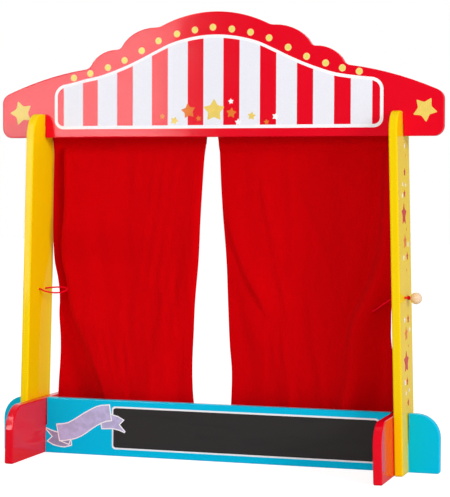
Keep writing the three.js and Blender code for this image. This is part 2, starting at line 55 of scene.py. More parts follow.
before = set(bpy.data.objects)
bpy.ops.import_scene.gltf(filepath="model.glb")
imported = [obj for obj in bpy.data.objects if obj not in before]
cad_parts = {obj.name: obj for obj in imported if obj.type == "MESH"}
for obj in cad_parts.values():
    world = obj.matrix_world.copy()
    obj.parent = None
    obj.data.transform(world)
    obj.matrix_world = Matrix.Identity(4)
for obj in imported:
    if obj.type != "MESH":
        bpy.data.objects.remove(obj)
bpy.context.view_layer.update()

# Places that the boards give
MM = 0.001
FRONT_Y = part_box("base_board")[0].y
CHALK_LOW, CHALK_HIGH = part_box("chalkboard_panel")
ROD_LOW, ROD_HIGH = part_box("curtain_rod")
ROD_Y = (ROD_LOW.y + ROD_HIGH.y) / 2
ROD_Z = (ROD_LOW.z + ROD_HIGH.z) / 2
ROD_RADIUS = (ROD_HIGH.z - ROD_LOW.z) / 2
POST_FLOOR_X = 0.249
POST_THICKNESS = 0.0107
POST_LEAN = math.radians(1.47)
SIDES = (("left", -1), ("right", 1))


def post_inner_x(z):
    return POST_FLOOR_X - z * math.tan(POST_LEAN)


def post_outer_x(z):
    return post_inner_x(z) + POST_THICKNESS / math.cos(POST_LEAN)


# Sizes and colours that a user sets


def tone(label, words, colour):
    return bpy.props.FloatVectorProperty(
        name=label, description=words, subtype="COLOR", size=4, min=0, max=1, default=(*colour, 1)
    )


def share(label, words, value, most=1.0):
    return bpy.props.FloatProperty(
        name=label, description=words, subtype="FACTOR", min=0, max=most, default=value
    )


def distance(label, words, value):
    return bpy.props.FloatProperty(
        name=label, description=words, subtype="DISTANCE", unit="LENGTH", min=0, precision=5, default=value
    )


def radiance(label, words, value):
    return bpy.props.FloatProperty(name=label, description=words, min=0, default=value)


class BoardFinish(bpy.types.PropertyGroup):
    red: tone("Red paint", "Paint of the header and the feet", (0.80, 0.0006, 0.014))
    yellow: tone("Yellow paint", "Paint of the posts", (0.94, 0.65, 0.001))
    blue: tone("Blue paint", "Paint of the base board", (0.0005, 0.52, 0.8))
    chalkboard: tone("Chalkboard", "Matt paint of the writing panel", (0.021, 0.019, 0.019))
    wood: tone("Beech", "Clear-lacquered beech of the rod and the beads", (0.86, 0.63, 0.43))
    roughness: share("Paint roughness", "How far the gloss paint blurs what it mirrors", 0.1)
    specular: share("Paint reflection", "Strength of the gloss paint's mirror image", 0.14)
    ripple: distance("Paint ripple", "Depth of the brush-free ripple left by spraying", 0.00003)


class PrintFinish(bpy.types.PropertyGroup):
    white: tone("White ink", "Panel, outlines and white stars", (0.95, 0.95, 0.98))
    stripe: tone("Off-white ink", "Pale stripes of the header's panel", (0.85, 0.85, 0.92))
    yellow: tone("Yellow ink", "Yellow stars", (0.88, 0.65, 0.14))
    cream: tone("Cream ink", "Rims of the dots", (0.93, 0.71, 0.24))
    lime: tone("Lime ink", "Middles of the dots", (0.84, 0.75, 0.14))
    orange: tone("Orange ink", "Orange stars", (0.82, 0.21, 0.03))
    coral: tone("Coral ink", "Red stars on the posts", (0.63, 0.045, 0.045))
    lilac: tone("Lilac ink", "Ribbon on the base board", (0.56, 0.52, 0.8))
    film: distance("Film", "Thickness of one printed layer", 0.00007)


class CurtainFinish(bpy.types.PropertyGroup):
    colour: tone("Cloth", "Colour of the curtains' cotton", (0.69, 0.0003, 0.0026))
    thread: distance("Thread", "Distance between two threads of the weave", 0.0006)
    thickness: distance("Thickness", "Thickness of the cloth", 0.0011)
    fold_depth: distance("Fold depth", "Depth of the deepest folds", 0.008)
    sheen: share("Sheen", "Soft nap that the cloth shows at a glancing angle", 0.03)


class CordFinish(bpy.types.PropertyGroup):
    colour: tone("Cord", "Colour of the twisted cord", (0.9, 0.003, 0.02))
    diameter: distance("Diameter", "Diameter of the cord", 0.002)
    lay_length: distance("Lay", "Length of cord in which its strands go round once", 0.0056)


class StageSetting(bpy.types.PropertyGroup):
    world: share("Room light", "Strength of the even light from all round", 0.45, 4)
    ceiling: share("Ceiling light", "Strength of the room light from straight above", 0.7, 4)
    main: radiance("Main panel", "Radiance of the large light panel at the front right", 7.3)
    side: radiance("Side panel", "Radiance of the light panel at the right side", 17.2)
    left: radiance("Left panel", "Radiance of the pale panel that the header mirrors", 16.8)
    high: radiance("High panel", "Radiance of the strip that the rounded corners mirror", 16.0)
    dim: share("Dim side", "Share of the room's white that gloss mirrors from its right side", 0.35)
    front: share("Front of the room", "Share of the room's white that gloss mirrors from the front", 0.3)
    floor: tone("Floor", "Colour of the floor", (0.80, 0.80, 0.80))


# Materials


def node(tree, kind, sockets=None, **settings):
    made = tree.nodes.new(kind)
    for key, value in settings.items():
        setattr(made, key, value)
    for key, value in (sockets or {}).items():
        if isinstance(value, bpy.types.NodeSocket):
            tree.links.new(value, made.inputs[key])
        else:
            made.inputs[key].default_value = value
    return made


def shaded(colour, factor):
    """A colour made lighter or darker by a factor, kept in range."""
    return (*(min(1.0, part * factor) for part in colour[:3]), 1)


def new_finish(name, specular):
    """A new material that mirrors by a set strength, with its node tree."""
    material = bpy.data.materials.new(name)
    material.use_nodes = True
    tree = material.node_tree
    tree.nodes["Principled BSDF"].inputs["Specular IOR Level"].default_value = specular
    return material, tree


def finished(material, colour, roughness, normal):
    """The material, once its surface has its colour, roughness and relief."""
    tree = material.node_tree
    surface = tree.nodes["Principled BSDF"].inputs
    for key, value in (("Base Color", colour), ("Roughness", roughness), ("Normal", normal)):
        tree.links.new(value, surface[key])
    return material


def own_place(tree):
    return node(tree, "ShaderNodeTexCoord").outputs["Object"]


def noise(tree, vector, scale, detail, distortion=0.0):
    sockets = {"Vector": vector, "Scale": scale, "Detail": detail, "Distortion": distortion}
    return node(tree, "ShaderNodeTexNoise", sockets).outputs["Fac"]


def between(tree, factor, low, high, softly=(0.3, 0.7)):
    """A value that runs from low to high as the factor runs through its middle."""
    sockets = {"Value": factor, "From Min": softly[0], "From Max": softly[1], "To Min": low, "To Max": high}
    return node(tree, "ShaderNodeMapRange", sockets).outputs["Result"]


def spots(tree, vector, scale, detail, softly=(0.3, 0.7), distortion=0.0):
    """Noise drawn out to the full span from zero to one."""
    return between(tree, noise(tree, vector, scale, detail, distortion), 0, 1, softly)


def blended(tree, factor, first, second, how="MIX"):
    sockets = {"Fac": factor, "Color1": first, "Color2": second}
    return node(tree, "ShaderNodeMixRGB", sockets, blend_type=how).outputs["Color"]


def tones(tree, factor, colour, low, high):
    """A colour that runs from one shade of itself to another."""
    return blended(tree, factor, shaded(colour, low), shaded(colour, high))


def bump(tree, height, depth, under=None):
    sockets = {"Height": height, "Distance": depth, "Strength": 1.0}
    if under is not None:
        sockets["Normal"] = under
    return node(tree, "ShaderNodeBump", sockets).outputs["Normal"]


def sprayed_relief(tree, place, finish, low, high):
    """Roughness and long ripple of a sprayed coat, with the roughness as two shares of the finish's."""
    rough = between(tree, noise(tree, place, 34, 4), finish.roughness * low, finish.roughness * high)
    return rough, bump(tree, noise(tree, place, 24, 1), finish.ripple * 7)


def stretched(tree, vector, scale):
    return node(tree, "ShaderNodeMapping", {"Vector": vector, "Scale": scale}).outputs["Vector"]


def gloss_paint(name, colour, finish, gloss=1.0):
    """Sprayed gloss paint on board: faint clouds of colour, a long ripple and a fine orange peel."""
    material, tree = new_finish(name, finish.specular * gloss)
    place = own_place(tree)
    base = tones(tree, spots(tree, place, 11, 3), colour, 0.965, 1.02)
    base = blended(tree, spots(tree, place, 420, 2), base, shaded(colour, 0.985))
    rough, ripple = sprayed_relief(tree, place, finish, 0.85, 1.25)
    peel = bump(tree, noise(tree, place, 330, 1), finish.ripple * 0.35, ripple)
    return finished(material, base, rough, peel)


def printed_ink(name, colour, finish, speckle, second=None, gloss=0.4):
    """Ink printed in fine dots, which mirrors a share of what the gloss paint does."""
    material, tree = new_finish(name, finish.specular * gloss)
    place = own_place(tree)
    base = tones(tree, spots(tree, place, 900, 1, (0.4, 0.6)), colour, 1 - speckle, 1 + speckle * 0.4)
    if second is not None:
        base = blended(tree, spots(tree, place, 130, 3, (0.38, 0.62)), base, second)
    return finished(material, base, *sprayed_relief(tree, place, finish, 0.9, 1.3))


def chalk_paint(name, colour):
    """Matt writing paint with the ghost of wiped chalk."""
    material, tree = new_finish(name, 0.12)
    place = own_place(tree)
    dust = spots(tree, stretched(tree, place, (7, 20, 34)), 1.6, 5, (0.35, 0.8), 0.6)
    grain = spots(tree, place, 1300, 2)
    base = blended(tree, grain, tones(tree, dust, colour, 0.85, 1.75), shaded(colour, 1.2))
    return finished(material, base, between(tree, dust, 0.72, 0.9), bump(tree, grain, 0.00005))


def beech_wood(name, colour):
    """Turned beech under a thin clear lacquer, with its grain along X and short dark flecks."""
    material, tree = new_finish(name, 0.35)
    place = own_place(tree)
    grain = spots(tree, stretched(tree, place, (30, 260, 260)), 1.0, 4, (0.25, 0.75), 0.8)
    fleck = spots(tree, stretched(tree, place, (300, 1900, 1900)), 1.0, 1, (0.6, 0.7))
    base = blended(tree, fleck, tones(tree, grain, colour, 0.86, 1.05), shaded(colour, 0.62))
    return finished(material, base, between(tree, grain, 0.42, 0.3), bump(tree, grain, 0.00006))


def woven_cotton(name, finish):
    """Plain-woven cotton. The weave follows the cloth's own lengths, in metres, in its UV map."""
    material, tree = new_finish(name, 0.01)
    surface = tree.nodes["Principled BSDF"].inputs
    surface["Sheen Weight"].default_value = finish.sheen
    surface["Sheen Roughness"].default_value = 0.45
    surface["Sheen Tint"].default_value = (1.0, 0.16, 0.14, 1)
    cloth = node(tree, "ShaderNodeUVMap", uv_map="cloth").outputs["UV"]
    waves = {
        "Vector": cloth, "Scale": math.pi / 10 / finish.thread, "Distortion": 0.6, "Detail": 1.0,
        "Detail Scale": 0.4,
    }
    warp, weft = (
        node(tree, "ShaderNodeTexWave", waves, bands_direction=direction).outputs["Fac"]
        for direction in ("X", "Y")
    )
    weave = blended(tree, 0.5, warp, weft, "LIGHTEN")
    slub_long, slub_wide = (
        spots(tree, stretched(tree, cloth, scale), 1.0, 2) for scale in ((1400, 40, 1), (40, 1400, 1))
    )
    slubs = blended(tree, 0.5, slub_long, slub_wide)
    base = tones(tree, slubs, finish.colour, 0.86, 1.08)
    base = blended(tree, spots(tree, cloth, 14, 4), base, shaded(finish.colour, 0.93))
    # Painted shade: the cloth is darker in the hollows between the threads of the weave
    base = blended(tree, between(tree, weave, 0.25, 0), base, shaded(finish.colour, 0.6))
    relief = None
    for height, depth in ((noise(tree, cloth, 90, 3, 0.4), 0.00035), (slubs, 0.0001), (weave, 0.00012)):
        relief = bump(tree, height, depth, relief)
    return finished(material, base, between(tree, slubs, 0.82, 0.95), relief)


def twisted_thread(name, colour, pitch):
    """Thread or cord of twisted fibres, with painted shade as fine dark lines where the fibres lie side by
    side, and the fibres' crowns painted lighter.
    """
    material, tree = new_finish(name, 0.0)
    fibre = spots(tree, own_place(tree), 1 / pitch, 3, distortion=0.5)
    # Painted shade in the hollows between the fibres and painted light on their crowns, following the relief
    base = tones(tree, fibre, colour, 0.7, 1.12)
    return finished(material, base, between(tree, fibre, 0.6, 0.8), bump(tree, fibre, pitch * 0.3))


# Meshes


def solid_mesh(name, verts, faces):
    """A closed mesh with its faces turned outwards."""
    mesh = bpy.data.meshes.new(name)
    mesh.from_pydata(verts, [], faces)
    turn_out(mesh)
    return mesh


def turn_out(mesh, crease=None):
    """Turn a mesh's faces outwards, and keep its edges sharp above an angle."""
    made = bmesh.new()
    made.from_mesh(mesh)
    bmesh.ops.recalc_face_normals(made, faces=made.faces)
    if crease is not None:
        for edge in made.edges:
            edge.smooth = edge.calc_face_angle(0) < crease
    made.to_mesh(mesh)
    made.free()


def tube_faces(rings, sides, first=0):
    """Faces of a tube over rings of corners, with both its ends closed."""
    faces = []
    for low in range(first, first + (rings - 1) * sides, sides):
        for side in range(sides):
            after = (side + 1) % sides
            faces.append((low + side, low + after, low + sides + after, low + sides + side))
    last = first + (rings - 1) * sides
    return faces + [tuple(range(first, first + sides))[::-1], tuple(range(last, last + sides))]


def show(name, mesh, material, body, smooth=True):
    """A piece of the theatre that moves with one of its bodies."""
    mesh.materials.append(material)
    mesh.polygons.foreach_set("use_smooth", [smooth] * len(mesh.polygons))
    piece = bpy.data.objects.new(name, mesh)
    bpy.context.scene.collection.objects.link(piece)
    if body:
        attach(piece, body)
    return piece


def print_film(name, outlines, place, lift, ink):
    """Print a layer of flat outlines on a board. It stands `lift` proud and reaches into the board."""
    sink = bpy.context.scene.theatre_prints.film * 2
    verts, faces = [], []
    for outline in outlines:
        first, count = len(verts), len(outline)
        verts += [place(u, v, lift) for u, v in outline] + [place(u, v, -sink) for u, v in outline]
        front = tuple(range(first, first + count))
        faces += [front, tuple(range(first + count, first + 2 * count))[::-1]]
        for here, after in zip(front, front[1:] + front[:1]):
            faces.append((here, here + count, after + count, after))
    show(name, solid_mesh(name, verts, faces), ink, "stand", smooth=False)


DISC_SIDES = 28
STAR_POINTS = 5
STAR_WAIST_SHARE = 0.54
STAR_ROUNDING_SHARE = 0.2
# A corner is blunt when its sides' unit normals add up to at least this length
BLUNT_NORMALS = 0.9
LEAST_SPREAD = 0.5


def on_front(u, v, lift):
    """A place printed on the front faces of the header and the base board."""
    return (u, FRONT_Y - lift, v)


def on_post(side):
    """Places printed on a leaning post's outer face, from depth and height."""
    return lambda u, v, lift: (side * (post_outer_x(v) + lift), u, v)


def disc(x, z, radius):
    turn = [2 * math.pi * step / DISC_SIDES for step in range(DISC_SIDES)]
    return [(x + radius * math.cos(a), z + radius * math.sin(a)) for a in turn]


def softened(corners, amount, steps=3):
    """An outline with each corner rounded off over a share of its shorter side."""
    made = []
    for here, corner in enumerate(corners):
        corner = Vector(corner)
        before, after = Vector(corners[here - 1]), Vector(corners[(here + 1) % len(corners)])
        reach = amount * min((before - corner).length, (after - corner).length)
        start = corner + (before - corner).normalized() * reach
        end = corner + (after - corner).normalized() * reach
        for step in range(steps + 1):
            t = step / steps
            made.append(tuple(start * (1 - t) ** 2 + corner * 2 * t * (1 - t) + end * t**2))
    return made


def star(x, z, radius, turned):
    """A five-pointed star with softened corners, and with its first point turned to an angle."""
    corners = []
    for step in range(2 * STAR_POINTS):
        angle = math.radians(turned + 180 / STAR_POINTS * step)
        reach = radius * (1 if step % 2 == 0 else STAR_WAIST_SHARE)
        corners.append((x + reach * math.cos(angle), z + reach * math.sin(angle)))
    return softened(corners, STAR_ROUNDING_SHARE)


def widened(outline, by):
    """An outline moved outwards all round by a set distance, with its sharp corners blunted."""
    points = [Vector(point) for point in outline]
    turning = sum(a.cross(b) for a, b in zip(points, points[1:] + points[:1]))
    sign = 1 if turning > 0 else -1
    made = []
    for here, point in enumerate(points):
        before, after = point - points[here - 1], points[(here + 1) % len(points)] - point
        if before.length < 1e-9 or after.length < 1e-9:
            continue
        first = Vector((before.y, -before.x)).normalized() * sign
        second = Vector((after.y, -after.x)).normalized() * sign
        middle = first + second
        if middle.length < BLUNT_NORMALS:
            made += [tuple(point + first * by), tuple(point + second * by)]
        else:
            made.append(tuple(point + middle * (by / max(LEAST_SPREAD, middle.dot(first)))))
    return made


def smooth_table(table):
    """A smooth curve through listed places, as a function of the first number of each."""
    xs, ys = (np.array(column, float) for column in zip(*table))
    slopes = np.empty(len(xs))
    slopes[1:-1] = (ys[2:] - ys[:-2]) / (xs[2:] - xs[:-2])
    slopes[0], slopes[-1] = (ys[1] - ys[0]) / (xs[1] - xs[0]), (ys[-1] - ys[-2]) / (xs[-1] - xs[-2])

    def at(x):
        x = np.clip(x, xs[0], xs[-1])
        low = np.clip(np.searchsorted(xs, x, side="right") - 1, 0, len(xs) - 2)
        gap = xs[low + 1] - xs[low]
        t = (x - xs[low]) / gap
        return (
            ys[low] * (1 + 2 * t) * (1 - t) ** 2 + ys[low + 1] * t * t * (3 - 2 * t)
            + gap * (slopes[low] * t * (1 - t) ** 2 - slopes[low + 1] * t * t * (1 - t))
        )

    return at


def smoothstep(x, low, high):
    t = np.clip((x - low) / (high - low), 0, 1)
    return t * t * (3 - 2 * t)


FINE_STEPS = 40


def spaced_line(points, step):
    """Places a step apart along a smooth curve through the points."""
    points = np.array(points, float)
    reach = np.concatenate([[0], np.cumsum(np.sqrt(np.linalg.norm(np.diff(points, axis=0), axis=1)))])
    curves = [smooth_table(list(zip(reach, points[:, axis]))) for axis in range(3)]
    fine = np.stack([curve(np.linspace(0, reach[-1], FINE_STEPS * len(points))) for curve in curves], 1)
    long = np.concatenate([[0], np.cumsum(np.linalg.norm(np.diff(fine, axis=0), axis=1))])
    at = np.linspace(0, long[-1], max(3, round(long[-1] / step) + 1))
    return np.stack([np.interp(at, long, fine[:, axis]) for axis in range(3)], 1), long[-1]


ROPE_SIDES = 18
ROPE_STRANDS = 3
ROPE_GROOVE_SHARE = 0.9
ROPE_CROWN_SHARE = 1.1


def rope_mesh(name, line, radius, lay_length):
    """A tube along a line, with its surface pressed into strands that wind round it."""
    line = [Vector(point) for point in line]
    tangents = [
        (line[min(here + 1, len(line) - 1)] - line[max(here - 1, 0)]).normalized()
        for here in range(len(line))
    ]
    across = tangents[0].orthogonal().normalized()
    verts, gone = [], 0.0
    for here, (point, along) in enumerate(zip(line, tangents)):
        if here:
            across = (tangents[here - 1].rotation_difference(along) @ across).normalized()
            gone += (point - line[here - 1]).length
        up = along.cross(across)
        for side in range(ROPE_SIDES):
            angle = 2 * math.pi * side / ROPE_SIDES
            wound = ROPE_STRANDS * (angle - 2 * math.pi * gone / lay_length)
            crown = (ROPE_CROWN_SHARE - ROPE_GROOVE_SHARE) * abs(math.sin(wound / 2))
            reach = radius * (ROPE_GROOVE_SHARE + crown)
            verts.append(point + (across * math.cos(angle) + up * math.sin(angle)) * reach)
    return solid_mesh(name, verts, tube_faces(len(line), ROPE_SIDES))


# Boards

SHARP_ANGLE = math.radians(52)


def eased_shading(piece):
    """Smooth shading on a board's eased edges, with its large faces kept flat."""
    mesh = piece.data
    mesh.polygons.foreach_set("use_smooth", [True] * len(mesh.polygons))
    edges = bmesh.new()
    edges.from_mesh(mesh)
    sharp = [len(edge.link_faces) != 2 or edge.calc_face_angle(0) > SHARP_ANGLE for edge in edges.edges]
    edges.free()
    for edge, is_sharp in zip(mesh.edges, sharp):
        edge.use_edge_sharp = is_sharp
    flat = piece.modifiers.new("flat_faces", "WEIGHTED_NORMAL")
    flat.keep_sharp = True
    flat.weight = 90


def finish_node(name, material):
    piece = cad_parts[name]
    piece.data.materials.clear()
    piece.data.materials.append(material)
    eased_shading(piece)


class THEATRE_OT_paint_boards(bpy.types.Operator):
    """Paint the header, base, posts and feet in gloss, and the writing panel in matt black"""

    bl_idname = "theatre.paint_boards"
    bl_label = "Paint boards"

    def execute(self, context):
        finish = context.scene.theatre_boards
        red = gloss_paint("red_gloss_paint", finish.red, finish, 1.4)
        finish_node("header_board", gloss_paint("red_header_paint", finish.red, finish))
        # The left post's yellow is painted a little lighter and the right one's a little darker, as painted
        # light and shade for how the lamps reach each post; the left one's coat is also less glossy
        for side, tint, gloss in (("left", 1.03, 0.45), ("right", 0.97, 0.9)):
            yellow = gloss_paint(side + "_yellow_paint", shaded(finish.yellow, tint), finish, gloss)
            finish_node(side + "_foot", red)
            finish_node(side + "_post", yellow)
        finish_node("base_board", gloss_paint("blue_gloss_paint", finish.blue, finish, 0.55))
        finish_node("chalkboard_panel", chalk_paint("chalkboard_paint", finish.chalkboard))
        finish_node("curtain_rod", beech_wood("rod_beech", finish.wood))
        return {"FINISHED"}


# Prints

PANEL_HALF_WIDTH = 223.6 * MM
PANEL_BOTTOM_Z = 434.4 * MM
PANEL_TOP_RADIUS = 15 * MM
PANEL_BOTTOM_RADIUS = 12 * MM
PANEL_BORDER = 4.3 * MM
PANEL_STEPS = 120
STRIPE_STEPS = 24
PANEL_TOP_MM = [
    (-224, 492.4), (-208, 494), (-196, 496.4), (-180, 500.4), (-160, 504.4), (-140, 510.6), (-120, 518),
    (-100, 526.8), (-80, 536.4), (-60, 545.4), (-40, 551), (-20, 554.4), (0, 555.6), (20, 554.4), (40, 551),
    (60, 545.4), (80, 536.4), (100, 526.8), (120, 518), (140, 510.6), (160, 504.4), (180, 501),
    (208, 497.8), (224, 497),
]
STRIPES_MM = [
    (-219.3, -210.6), (-183, -162), (-134.4, -112.4), (-85.6, -63.6), (-36, -14.6), (12.6, 34.4),
    (62, 83.6), (111.2, 132.4), (160, 181.6), (209.4, 219.3),
]
DOTS_MM = [
    (-196, 502.4), (-172.6, 508), (-147.6, 515.4), (-124, 524.4), (-100, 536.6), (-76.6, 549),
    (-51, 557.4), (-26.4, 562), (-1.8, 565), (23.8, 562), (49, 557.4), (73.8, 549.6), (99.2, 537),
    (123.6, 525), (148.6, 516.2), (170.4, 509.6), (192.4, 505),
]
DOT_RADIUS = 4.5 * MM
DOT_MIDDLE_SHARE = 0.55
# Stars as (distance from the middle, height, radius, turn in degrees)
HEADER_STARS_MM = {
    "yellow": [
        (-272, 456.5, 17, 108), (276.5, 456.5, 16.5, 132), (0, 457.5, 15.5, 90), (-54.4, 444.6, 5.8, 70),
        (51, 450, 5.8, 82),
    ],
    "orange": [
        (-35, 457, 10.4, 98), (-71, 450.4, 4, 80), (-21, 447.4, 4, 100), (23.6, 454, 7.2, 84),
        (71, 442, 4, 96),
    ],
    "white": [(23, 469, 4, 96), (33, 442, 5, 90), (83, 449, 5, 75)],
}


def corner_step(x, inset, radius):
    """How far a rounded corner takes the panel's edge in, at a distance from the middle."""
    radius -= inset
    past = abs(x) - (PANEL_HALF_WIDTH - inset - radius)
    return radius - math.sqrt(max(0.0, radius**2 - max(0.0, past) ** 2))


def panel_part(from_x, to_x, inset, steps):
    """The part of the panel between two upright lines, with its edges moved in by a distance."""
    top_edge = smooth_table(PANEL_TOP_MM)
    xs = [from_x + (to_x - from_x) * (1 - math.cos(math.pi * step / steps)) / 2 for step in range(steps + 1)]
    over = [(x, float(top_edge(x / MM)) * MM - inset - corner_step(x, inset, PANEL_TOP_RADIUS)) for x in xs]
    under = [(x, PANEL_BOTTOM_Z + inset + corner_step(x, inset, PANEL_BOTTOM_RADIUS)) for x in xs]
    return over[::-1] + [place for place in under if abs(place[1] - over[0][1]) > 1e-6]


class THEATRE_OT_print_header(bpy.types.Operator):
    """Print the header's striped panel, its row of dots and its stars"""

    bl_idname = "theatre.print_header"
    bl_label = "Print header"

    def execute(self, context):
        inks, boards = context.scene.theatre_prints, context.scene.theatre_boards
        white = printed_ink("white_ink", inks.white, boards, 0.02, gloss=0.15)
        pale = printed_ink("pale_ink", inks.stripe, boards, 0.03, gloss=0.15)
        half = PANEL_HALF_WIDTH
        inner = half - PANEL_BORDER
        stripes = [
            panel_part(max(low * MM, -inner), min(high * MM, inner), PANEL_BORDER, STRIPE_STEPS)
            for low, high in STRIPES_MM
        ]
        dots, middles = (
            [disc(x * MM, z * MM, DOT_RADIUS * part) for x, z in DOTS_MM] for part in (1, DOT_MIDDLE_SHARE)
        )
        films = [
            ("panel", [panel_part(-half, half, 0, PANEL_STEPS)], white, 1),
            ("pale_field", [panel_part(-inner, inner, PANEL_BORDER, PANEL_STEPS)], pale, 2),
            ("stripes", stripes, gloss_paint("stripe_ink", boards.red, boards), 3),
            ("dots", dots, printed_ink("cream_ink", inks.cream, boards, 0.05), 1),
            ("dot_middles", middles, printed_ink("lime_ink", inks.lime, boards, 0.08), 2),
        ]
        for order, (colour, stars) in enumerate(HEADER_STARS_MM.items()):
            tint, ink = getattr(inks, colour), white
            if colour != "white":
                ink = printed_ink(colour + "_star_ink", tint, boards, 0.1, shaded(tint, 0.93), 0.7)
            outlines = [star(x * MM, z * MM, radius * MM, turned) for x, z, radius, turned in stars]
            films.append((colour + "_stars", outlines, ink, 4 + order))
        for name, outlines, ink, layers in films:
            print_film("header_" + name, outlines, on_front, inks.film * layers, ink)
        return {"FINISHED"}


CHALK_OUTLINE = 2.3 * MM
CHALK_CORNER = 4.5 * MM
RIBBON_OUTLINE = 1.4 * MM
RIBBON_MM = {
    "left_tail": [
        (-236.6, 32.6), (-228, 29.4), (-219.6, 27.4), (-217.6, 17.5), (-201, 20), (-200, 12), (-210, 9.4),
        (-218, 10), (-226, 11.8), (-233.4, 15.6), (-226.4, 22),
    ],
    "right_tail": [
        (-156, 43), (-155, 36.6), (-148, 37), (-140, 37.4), (-131, 35.8), (-122.6, 32.6), (-131.4, 42.4),
        (-125.4, 48.6), (-133, 52.6), (-143, 55),
    ],
    "band": [
        (-220, 38.4), (-212, 39.2), (-204, 41), (-197, 44.6), (-190, 49), (-180, 55.4), (-170, 61),
        (-163, 64.4), (-156, 66.4), (-145.4, 67.4), (-142.4, 47.8), (-149, 47), (-156, 44.2), (-163, 40.4),
        (-170, 36), (-178, 30), (-186, 25), (-193, 21.8), (-200, 20), (-208, 18.4), (-216, 17.6),
    ],
    "left_fold": [(-216, 17.4), (-208, 18.2), (-201, 20), (-203.6, 13.2)],
}
RIBBON_LAYERS = {"left_tail": 2, "right_tail": 2, "band": 4, "left_fold": 5}


def rounded_box(low, high, radius, steps=6):
    """An upright rectangle's outline, from its right end on, with its corners rounded off."""
    made = []
    for order, (right, top) in enumerate(((1, 1), (-1, 1), (-1, -1), (1, -1))):
        x = (high.x if right > 0 else low.x) - right * radius
        z = (high.z if top > 0 else low.z) - top * radius
        for step in range(steps + 1):
            angle = math.pi / 2 * (order + step / steps)
            made.append((x + radius * math.cos(angle), z + radius * math.sin(angle)))
    return made


class THEATRE_OT_print_base(bpy.types.Operator):
    """Print the chalkboard's outline and the plain ribbon beside it"""

    bl_idname = "theatre.print_base"
    bl_label = "Print base board"

    def execute(self, context):
        inks, boards = context.scene.theatre_prints, context.scene.theatre_boards
        layer = inks.film
        white = printed_ink("outline_ink", inks.white, boards, 0.02, gloss=0.15)
        fair, dark, darkest = (shaded(inks.lilac, factor) for factor in (0.82, 0.66, 0.56))
        lilac = printed_ink("lilac_ink", inks.lilac, boards, 0.07, fair)
        shade = printed_ink("shaded_lilac_ink", dark, boards, 0.06, darkest)
        margin = Vector((CHALK_OUTLINE, 0, CHALK_OUTLINE))
        ring = rounded_box(CHALK_LOW - margin, CHALK_HIGH + margin, CHALK_CORNER)
        films = [("chalkboard_outline", ring, layer, white)]
        for name, corners in RIBBON_MM.items():
            corners = [(x * MM, z * MM) for x, z in corners]
            # The band and the right tail lap over the chalkboard, which stands proud of the base board
            proud, ink = (0, shade) if name.startswith("left") else (FRONT_Y - CHALK_LOW.y, lilac)
            lift = proud + layer * RIBBON_LAYERS[name]
            films.append((f"ribbon_{name}_edge", widened(corners, RIBBON_OUTLINE), lift, white))
            films.append((f"ribbon_{name}", corners, lift + layer * 0.5, ink))
        for name, outline, lift, ink in films:
            print_film(name, [outline], on_front, lift, ink)
        return {"FINISHED"}


# Stars on a post's outer face as (depth from the boards' front faces, height, radius, turn in degrees)
POST_STARS_MM = {
    "white": [
        (8, 411, 4, 90), (-8, 363, 3.4, 80), (12, 362, 3.4, 100), (-10, 349, 4.4, 90), (20, 287, 4.4, 84),
        (-7, 271, 4.6, 96), (-9, 193, 4.4, 90), (22, 179, 4.2, 80), (-12, 115, 4.4, 96), (12, 103, 3.4, 90),
        (-8, 101, 3.4, 84),
    ],
    "orange": [
        (2, 291, 10, 92), (-1, 175, 10, 96), (14, 399, 2.4, 90), (11, 306, 2.4, 80), (8, 255, 2.4, 96),
        (11, 159, 2.4, 90),
    ],
    "coral": [
        (6, 378, 5.6, 92), (3, 351, 5.6, 84), (-2, 325, 15, 90), (14, 272, 6, 96), (12, 193, 6, 90),
        (1, 115, 5.6, 84), (4, 88, 5.4, 96), (-3, 140, 15, 90),
    ],
}


class THEATRE_OT_print_posts(bpy.types.Operator):
    """Print the scattered stars on both posts' outer faces"""

    bl_idname = "theatre.print_posts"
    bl_label = "Print posts"

    def execute(self, context):
        inks, boards = context.scene.theatre_prints, context.scene.theatre_boards
        for order, (colour, stars) in enumerate(POST_STARS_MM.items()):
            tint = getattr(inks, colour)
            ink = printed_ink(colour + "_post_ink", tint, boards, 0.08, shaded(tint, 0.9), 0.3)
            outlines = [star(FRONT_Y + y * MM, z * MM, radius * MM, turned) for y, z, radius, turned in stars]
            for name, side in SIDES:
                piece, lift = f"{name}_post_{colour}_stars", inks.film * (order + 1)
                print_film(piece, outlines, on_post(side), lift, ink)
        return {"FINISHED"}


# Curtains

CASING_SEAM_Z = ROD_Z - 14 * MM
CURTAIN_BOTTOM_Z = 40 * MM
CURTAIN_TOP_X = post_inner_x(ROD_Z) - 1.2 * MM
HEM_WIDTH = 12 * MM
HEM_LAP = 0.6 * MM  # the hem covers the end of the cloth beside it
SEAM_PLAY = 0.3 * MM  # the cloth beside the hem stops short of its full lap
HEM_THICKER = 1.25
HEM_TURN = 10 * MM
FOLD_START_SHARE = 0.035  # of the drop, in which the folds come out of the casing
FOLD_END_SHARE = 0.08  # of the drop, to each side of a fold's end, in which it fades
SWELL_AT_TOP_SHARE = 0.2  # of what the broad waves reach at the bottom
HANG_BACK_SHARE = 0.42  # of the fold depth, by which the cloth hangs behind the rod's middle
CLOTH_STEP = 2.2 * MM
CASING_EASE = 0.4 * MM
CASING_TURN = 1.5 * MM
HEM_GAP_SHARE = 1.12  # of the cloth's thickness, between the middles of two layers
CASING_STEPS = 8
ROD_STEPS = 14
HEM_STEPS = 4
HEM_FOLD_STEPS = 6
HEM_ROWS = 12  # rows of the bottom hem, and two above it
SEAM_ROW_STEP = 4
LEAST_COLUMNS = 7
CLOTH_SHARP_ANGLE = math.radians(60)
PUCKER = 0.4 * MM
PUCKER_REACH = 7 * MM
PUCKERS = 29
PUCKER_DRIFT = 40
SEAM_DIP = 0.35 * MM
SEAM_DIP_REACH = 1.3 * MM
GATHERS_CLEAR = 2 * MM
LONG_SEAM_THREAD = 0.17 * MM
HEM_SEAM_THREAD = 0.11 * MM
THREAD_FIBRE = 0.2 * MM

